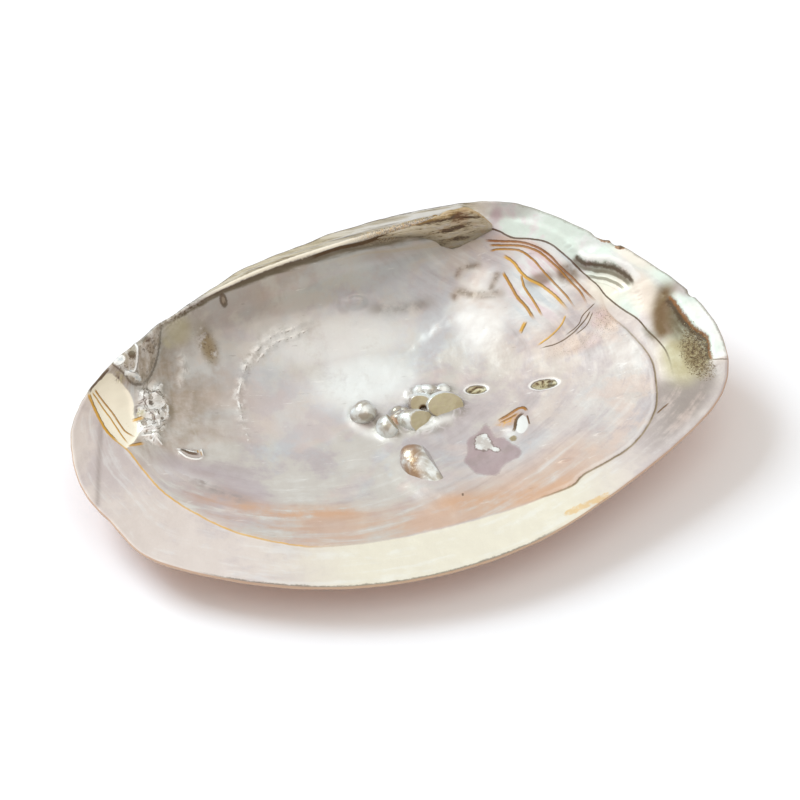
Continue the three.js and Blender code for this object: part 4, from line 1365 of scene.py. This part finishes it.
def stored(group, name, kind):
    """Numbers stored on the geometry that enters a tree."""
    return group.make("GeometryNodeInputNamedAttribute", {"data_type": kind}, {"Name": name})


def baked_mesh(base, tree, identifiers, values, name):
    """Plain mesh of a base object after a geometry tree."""
    modifier = base.modifiers.new(tree.name, "NODES")
    modifier.node_group = tree
    for label, value in values.items():
        modifier[identifiers[label]] = value
    graph = bpy.context.evaluated_depsgraph_get()
    changed = base.evaluated_get(graph)
    mesh = bpy.data.meshes.new_from_object(changed, preserve_all_data_layers=True, depsgraph=graph)
    mesh.name = name
    base.modifiers.remove(modifier)
    return mesh


def relief_tree(material):
    """Slow waves all over the nacre and crumples beside the muscle scar, as real relief."""
    tree, identifiers, group = new_tree("nacre_relief", [
        ("Wave height", "NodeSocketFloat", 0.0002),
        ("Wave size", "NodeSocketFloat", 0.01),
        ("Crumple height", "NodeSocketFloat", 0.001),
        ("Crumple size", "NodeSocketFloat", 0.003),
    ])
    position = group.make("GeometryNodeInputPosition")
    normal = group.make("GeometryNodeInputNormal")
    waves = group.noise(position, 1 / group.output("Wave size"), 2.0, 0.5)
    folds = group.noise(position, 1 / group.output("Crumple size"), 2.0, 0.5, 0.8)
    relief = stored(group, "relief", "FLOAT_VECTOR")
    parts = group.make("ShaderNodeSeparateXYZ", sockets={0: relief})
    swell = (waves - 0.5) * group.output("Wave height") * 2 * (1 - parts.output(2))
    swell = swell + (folds - 0.5) * group.output("Crumple height") * 4 * parts
    offset = group.make("ShaderNodeVectorMath", {"operation": "SCALE"}, {0: normal, "Scale": swell})
    moved = group.make("GeometryNodeSetPosition", sockets={"Geometry": group, "Offset": offset})
    finish_tree(group, moved, material)
    return tree, identifiers


def grain_tree(material):
    """Grains scattered where the valve is stained and rough."""
    tree, identifiers, group = new_tree("stuck_grains", [
        ("Density", "NodeSocketFloat", 2.0e6),
        ("Size", "NodeSocketFloat", 0.0005),
        ("Seed", "NodeSocketInt", 7),
    ])
    weight = stored(group, "grains", "FLOAT")
    spots = group.make("GeometryNodeDistributePointsOnFaces", {"distribute_method": "RANDOM"}, {
        "Mesh": group, "Density": group.output("Density") * weight, "Seed": group.output("Seed")})
    ball = group.make("GeometryNodeMeshIcoSphere", sockets={"Radius": 0.5, "Subdivisions": 1})
    size = group.make("FunctionNodeRandomValue", {"data_type": "FLOAT"}, {
        2: group.output("Size") * 0.35, 3: group.output("Size"), "Seed": group.output("Seed")}, output=1)
    put = group.make("GeometryNodeInstanceOnPoints", sockets={
        "Points": spots, "Instance": ball, "Scale": size})
    finish_tree(group, put, material)
    return tree, identifiers


def strand_tree(material):
    """Strands that follow the hinge line over the ligament's back, each straying a little."""
    tree, identifiers, group = new_tree("ligament_strands", [
        ("Strands", "NodeSocketInt", 60),
        ("Size", "NodeSocketFloat", 0.0004),
        ("Seed", "NodeSocketInt", 3),
    ])
    curve = group.make("GeometryNodeMeshToCurve", sockets={"Mesh": group})
    curve = group.make("GeometryNodeResampleCurve", sockets={"Curve": curve, "Count": 56})
    copies = group.make("GeometryNodeDuplicateElements", {"domain": "SPLINE"}, {
        "Geometry": curve, "Amount": group.output("Strands")})
    number = copies.output(1)
    lane = group.make("FunctionNodeRandomValue", {"data_type": "FLOAT"}, {
        2: -0.98, 3: 0.98, "ID": number, "Seed": group.output("Seed")}, output=1)
    position = group.make("GeometryNodeInputPosition")
    stray = group.make("ShaderNodeTexNoise", {"noise_dimensions": "4D"}, {
        "Vector": position, "W": number * 0.37, "Scale": 130.0, "Detail": 2.0})
    lane = group.math("MINIMUM", lane + (stray - 0.5) * 0.7, 1.0).most(-1.0)
    arch = group.math("SQRT", 1 - lane * lane)
    down = stored(group, "down", "FLOAT_VECTOR")
    out = stored(group, "out", "FLOAT_VECTOR")
    across = group.make("ShaderNodeVectorMath", {"operation": "SCALE"}, {0: down, "Scale": lane})
    rise = arch * (0.85 + stray * 0.3)
    lift = group.make("ShaderNodeVectorMath", {"operation": "SCALE"}, {0: out, "Scale": rise})
    offset = group.make("ShaderNodeVectorMath", {"operation": "ADD"}, {0: across, 1: lift})
    named = group.make("GeometryNodeStoreNamedAttribute", {"data_type": "FLOAT", "domain": "POINT"}, {
        "Geometry": copies, "Name": "lane", "Value": lane})
    moved = group.make("GeometryNodeSetPosition", sockets={"Geometry": named, "Offset": offset})
    section = group.make("GeometryNodeCurvePrimitiveCircle", sockets={
        "Resolution": 6, "Radius": group.output("Size") * 0.5})
    tubes = group.make("GeometryNodeCurveToMesh", sockets={
        "Curve": moved, "Profile Curve": section, "Fill Caps": True})
    finish_tree(group, tubes, material)
    return tree, identifiers


def ligament_frame(count):
    """Middle line of the ligament, half its height down the slope, and its bulge out of the slope."""
    table = curve_through([row[1:] for row in LIGAMENT], count)
    x = curve_through([(row[0], 0) for row in LIGAMENT], count)[:, 0]
    upper = np.column_stack([x, table[:, 0], table[:, 1]])
    lower = np.column_stack([x, table[:, 2], table[:, 3]])
    down = (lower - upper) / 2
    out = np.column_stack([np.zeros(count), down[:, 2], -down[:, 1]])
    out /= np.linalg.norm(out, axis=1)[:, None]
    out *= np.where(out[:, 2:] < 0, -1, 1)
    ends = np.sqrt(np.clip(np.sin(math.pi * np.linspace(0, 1, count)), 0.02, 1))
    return (upper + lower) / 2, down, out * LIGAMENT_THICKNESS * ends[:, None]


def ligament_body(valve, around=40, count=90):
    """Closed, ridged spindle that lies on the inner slope of the crest."""
    middle, down, out = ligament_frame(count)
    turn = np.linspace(0, 2 * math.pi, around, endpoint=False)
    along = np.linspace(0, 1, count)[:, None]
    ridges = 0.07 * np.sin(9 * turn + 7 * along) + 0.05 * np.sin(17 * turn - 11 * along)
    ridges = ridges + 0.05 * np.sin(40 * along + 3 * turn)
    scale = (1 + ridges)[:, :, None]
    rings = middle[:, None, :] + scale * (
        down[:, None, :] * np.cos(turn)[None, :, None] + out[:, None, :] * np.sin(turn)[None, :, None])
    points = np.vstack([rings.reshape(-1, 3), middle[:1], middle[-1:]])
    faces = []
    for ring in range(count - 1):
        for step in range(around):
            a, b = ring * around + step, ring * around + (step + 1) % around
            faces.append([a, b, b + around, a + around])
    first, last = count * around, count * around + 1
    for step in range(around):
        ahead = (step + 1) % around
        faces.append([ahead, step, first])
        faces.append([(count - 1) * around + step, (count - 1) * around + ahead, last])
    mesh = outward_mesh("ligament_body", valve.placed(points), faces)
    add_numbers(mesh, "lane", np.append(np.tile(np.cos(turn), count), [0, 0]))
    return mesh


def outward_mesh(name, points, faces):
    """A mesh whose faces all look out of its volume."""
    mesh = mesh_from(name, points, faces)
    work = bmesh.new()
    work.from_mesh(mesh)
    bmesh.ops.recalc_face_normals(work, faces=work.faces)
    work.to_mesh(mesh)
    work.free()
    mesh.shade_smooth()
    return mesh


def show_piece(name, mesh):
    """A finished piece at the origin that rides on the shell's body."""
    piece = bpy.data.objects.new(name, mesh)
    bpy.context.scene.collection.objects.link(piece)
    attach(piece, BODY)
    return piece


def scratch_object(name, mesh):
    scratch = bpy.data.objects.new(name, mesh)
    bpy.context.scene.collection.objects.link(scratch)
    return scratch


class MakeValve(bpy.types.Operator):
    """Shape the valve with its rim, hinge, scars and folds, and paint its nacre"""

    bl_idname = "shell.make_valve"
    bl_label = "Valve"

    def execute(self, context):
        sizes = context.scene.shell_sizes
        valve = Valve(sizes)
        points, faces, outer = valve_points(valve)
        mesh = mesh_from("valve_form", valve.placed(points), faces)
        mark_valve(mesh, valve, points[:, 0], points[:, 1], outer)
        base = scratch_object("valve_form", mesh)
        tree, identifiers = relief_tree(nacre_material(context.scene.shell_colours))
        dressed = baked_mesh(base, tree, identifiers, {
            "Wave height": sizes.wave_height,
            "Wave size": sizes.wave_size,
            "Crumple height": sizes.crumple_height,
            "Crumple size": sizes.crumple_size,
        }, "valve")
        bpy.data.objects.remove(base)
        piece = show_piece("valve", dressed)
        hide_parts(NODE)
        return {"FINISHED"}


def pearl_points(pearl, ball):
    """Corners of one pearl, lumpy and cut flat, over the rim plane; also where the cuts are."""
    wave = np.sin(ball * 2.6 + np.array(pearl["at"])[None, :])
    lumps = 1 + PEARL_LUMPS * (wave[:, 0] * wave[:, 1] + wave[:, 2] * wave[:, 0])
    points = ball * lumps[:, None] * np.array(pearl["size"]) / 2
    points[:, 1:] *= 1 - pearl["taper"] * (ball[:, :1] + 1) / 2
    angle = math.radians(pearl["turn"])
    turned = points.copy()
    turned[:, 0] = points[:, 0] * math.cos(angle) - points[:, 1] * math.sin(angle)
    turned[:, 1] = points[:, 0] * math.sin(angle) + points[:, 1] * math.cos(angle)
    leftward = smoothstep(-0.05, -0.6, turned[:, 0] / (pearl["size"][1] / 2))
    cut = np.zeros(len(ball))
    for direction, distance in pearl["cuts"]:
        normal = np.array(direction) / np.linalg.norm(direction)
        beyond = np.maximum(turned @ normal - distance, 0)
        turned = turned - beyond[:, None] * normal
        cut = np.maximum(cut, pearl["dull"] * smoothstep(0, 0.15, beyond))
    return turned + np.array(pearl["at"]), cut, pearl["copper"] * leftward


def unit_ball(detail):
    """Corners and triangles of a ball of radius 1."""
    work = bmesh.new()
    bmesh.ops.create_icosphere(work, subdivisions=detail, radius=1)
    ball = np.array([corner.co for corner in work.verts])
    triangles = np.array([[corner.index for corner in face.verts] for face in work.faces])
    work.free()
    return ball, triangles


class MakePearls(bpy.types.Operator):
    """Grow the blister pearls on the floor of the valve"""

    bl_idname = "shell.make_pearls"
    bl_label = "Blister pearls"

    def execute(self, context):
        valve = Valve(context.scene.shell_sizes)
        large, small = unit_ball(5), unit_ball(4)
        points, marks, faces = np.zeros((0, 3)), np.zeros((0, 2)), []
        for pearl in PEARLS:
            ball, triangles = large if pearl["cuts"] else small
            shaped, cut, copper = pearl_points(pearl, ball)
            faces += (triangles + len(points)).tolist()
            points = np.vstack([points, shaped])
            marks = np.vstack([marks, np.column_stack([cut, copper])])
        root = valve.outside(points[:, 0], points[:, 1]) + PEARL_ROOT
        points[:, 2] = np.maximum(points[:, 2], root)
        away = np.linalg.norm(points - np.array(PEARL_HOLE), axis=1)
        dark = 1 - smoothstep(0.45, 1, away / PEARL_HOLE_RADIUS)
        points = points + dark[:, None] * np.array(PEARL_HOLE_DRAW)
        mesh = mesh_from("blister_pearls", valve.placed(points), faces)
        add_numbers(mesh, "pearl", marks[:, 0], marks[:, 1], dark)
        mesh.materials.append(pearl_material(context.scene.shell_colours))
        show_piece("blister_pearls", mesh)
        return {"FINISHED"}


class MakeLigament(bpy.types.Operator):
    """Lay the torn ligament along the hinge: its body, and the strands that follow it"""

    bl_idname = "shell.make_ligament"
    bl_label = "Torn ligament"

    def execute(self, context):
        sizes = context.scene.shell_sizes
        valve = Valve(sizes)
        material = ligament_material(context.scene.shell_colours)
        body = ligament_body(valve)
        body.materials.append(material)
        show_piece("ligament_body", body)
        middle, down, out = ligament_frame(48)
        path = mesh_from("hinge_path", valve.placed(middle), [])
        links = np.column_stack([np.arange(len(middle) - 1), np.arange(1, len(middle))])
        path.edges.add(len(links))
        path.edges.foreach_set("vertices", links.ravel())
        add_numbers(path, "down", *(down @ valve.lean.T * MM).T)
        add_numbers(path, "out", *(out @ valve.lean.T * MM).T)
        base = scratch_object("hinge_path", path)
        tree, identifiers = strand_tree(material)
        mesh = baked_mesh(base, tree, identifiers, {
            "Strands": STRAND_COUNT,
            "Size": sizes.strand_size,
            "Seed": STRAND_SEED,
        }, "ligament_strands")
        bpy.data.objects.remove(base)
        mesh.shade_smooth()
        show_piece("ligament_strands", mesh)
        return {"FINISHED"}


class MakeGrains(bpy.types.Operator):
    """Scatter grains where the valve is stained and rough"""

    bl_idname = "shell.make_grains"
    bl_label = "Stuck grains"

    def execute(self, context):
        tree, identifiers = grain_tree(grain_material(context.scene.shell_colours))
        valve = bpy.data.objects["valve"]
        mesh = baked_mesh(valve, tree, identifiers, {
            "Density": GRAIN_DENSITY,
            "Size": context.scene.shell_sizes.grain_size,
            "Seed": GRAIN_SEED,
        }, "grains")
        mesh.shade_smooth()
        show_piece("grains", mesh)
        return {"FINISHED"}


def aimed_light(name, place, size, energy, tint):
    """A soft rectangular light that looks at the origin."""
    light = bpy.data.lights.new(name, "AREA")
    light.shape = "RECTANGLE"
    light.size, light.size_y = size
    light.energy = energy
    light.color = tint
    lamp = bpy.data.objects.new(name, light)
    lamp.location = place
    lamp.rotation_euler = (-Vector(place)).to_track_quat("-Z", "Y").to_euler()
    bpy.context.scene.collection.objects.link(lamp)


class MakeStage(bpy.types.Operator):
    """Set the pale floor, the soft lights and the camera"""

    bl_idname = "shell.make_stage"
    bl_label = "Stage"

    def execute(self, context):
        scene = context.scene
        stage = scene.shell_stage
        half = stage.floor_size / 2
        corners = np.array([(-half, -half), (half, -half), (half, half), (-half, half)])
        corners = np.column_stack([corners, np.full(4, FLOOR_LEVEL)])
        floor_mesh = mesh_from("floor", corners, [[0, 1, 2, 3]])
        material, sheet = new_material("floor")
        finish_material(sheet, {"Base Color": FLOOR_COLOUR, "Roughness": 0.9})
        floor_mesh.materials.append(material)
        scratch_object("floor", floor_mesh)

        world = bpy.data.worlds.new("studio")
        world.use_nodes = True
        sky = world.node_tree.nodes["Background"]
        sky.inputs["Color"].default_value = SKY_COLOUR
        sky.inputs["Strength"].default_value = stage.sky_strength
        scene.world = world
        scene.view_settings.view_transform = "Standard"
        aimed_light("key", KEY_PLACE, KEY_SIZE, stage.key_power, KEY_COLOUR)
        aimed_light("fill", FILL_PLACE, FILL_SIZE, stage.fill_power, FILL_COLOUR)

        camera = bpy.data.cameras.new("camera")
        camera.lens = stage.lens
        camera.sensor_width = SENSOR_WIDTH
        camera.clip_end = FAR_LIMIT
        view = bpy.data.objects.new("camera", camera)
        azimuth, elevation = stage.camera_azimuth, stage.camera_elevation
        level = math.cos(elevation)
        back = Vector((math.sin(azimuth) * level, -math.cos(azimuth) * level, math.sin(elevation)))
        middle = Vector(Valve(scene.shell_sizes).shift * MM)
        view.location = middle + back * stage.camera_distance
        view.rotation_euler = back.to_track_quat("Z", "Y").to_euler()
        scene.collection.objects.link(view)
        scene.camera = view
        return {"FINISHED"}


class ShellPanel(bpy.types.Panel):
    """Lists the pieces of the shell and their settings"""

    bl_idname = "VIEW3D_PT_shell"
    bl_label = "Pearl mussel half shell"
    bl_space_type = "VIEW_3D"
    bl_region_type = "UI"
    bl_category = "Shell"

    def draw(self, context):
        for operator in OPERATORS:
            self.layout.operator(operator.bl_idname)
        for name, group in GROUPS.items():
            box = self.layout.box()
            for label in group.__annotations__:
                box.prop(getattr(context.scene, name), label)


GROUPS = {"shell_sizes": ShellSizes, "shell_colours": ShellColours, "shell_stage": StageSettings}
OPERATORS = (MakeStage, MakeValve, MakePearls, MakeLigament, MakeGrains)


def register():
    for name, group in GROUPS.items():
        bpy.utils.register_class(group)
        setattr(bpy.types.Scene, name, bpy.props.PointerProperty(type=group))
    for operator in OPERATORS:
        bpy.utils.register_class(operator)
    bpy.utils.register_class(ShellPanel)


def unregister():
    bpy.utils.unregister_class(ShellPanel)
    for operator in reversed(OPERATORS):
        bpy.utils.unregister_class(operator)
    for name, group in reversed(GROUPS.items()):
        delattr(bpy.types.Scene, name)
        bpy.utils.unregister_class(group)


def main():
    register()
    bpy.ops.shell.make_stage()
    bpy.ops.shell.make_valve()
    bpy.ops.shell.make_pearls()
    bpy.ops.shell.make_ligament()
    bpy.ops.shell.make_grains()


if __name__ == "__main__":
    main()
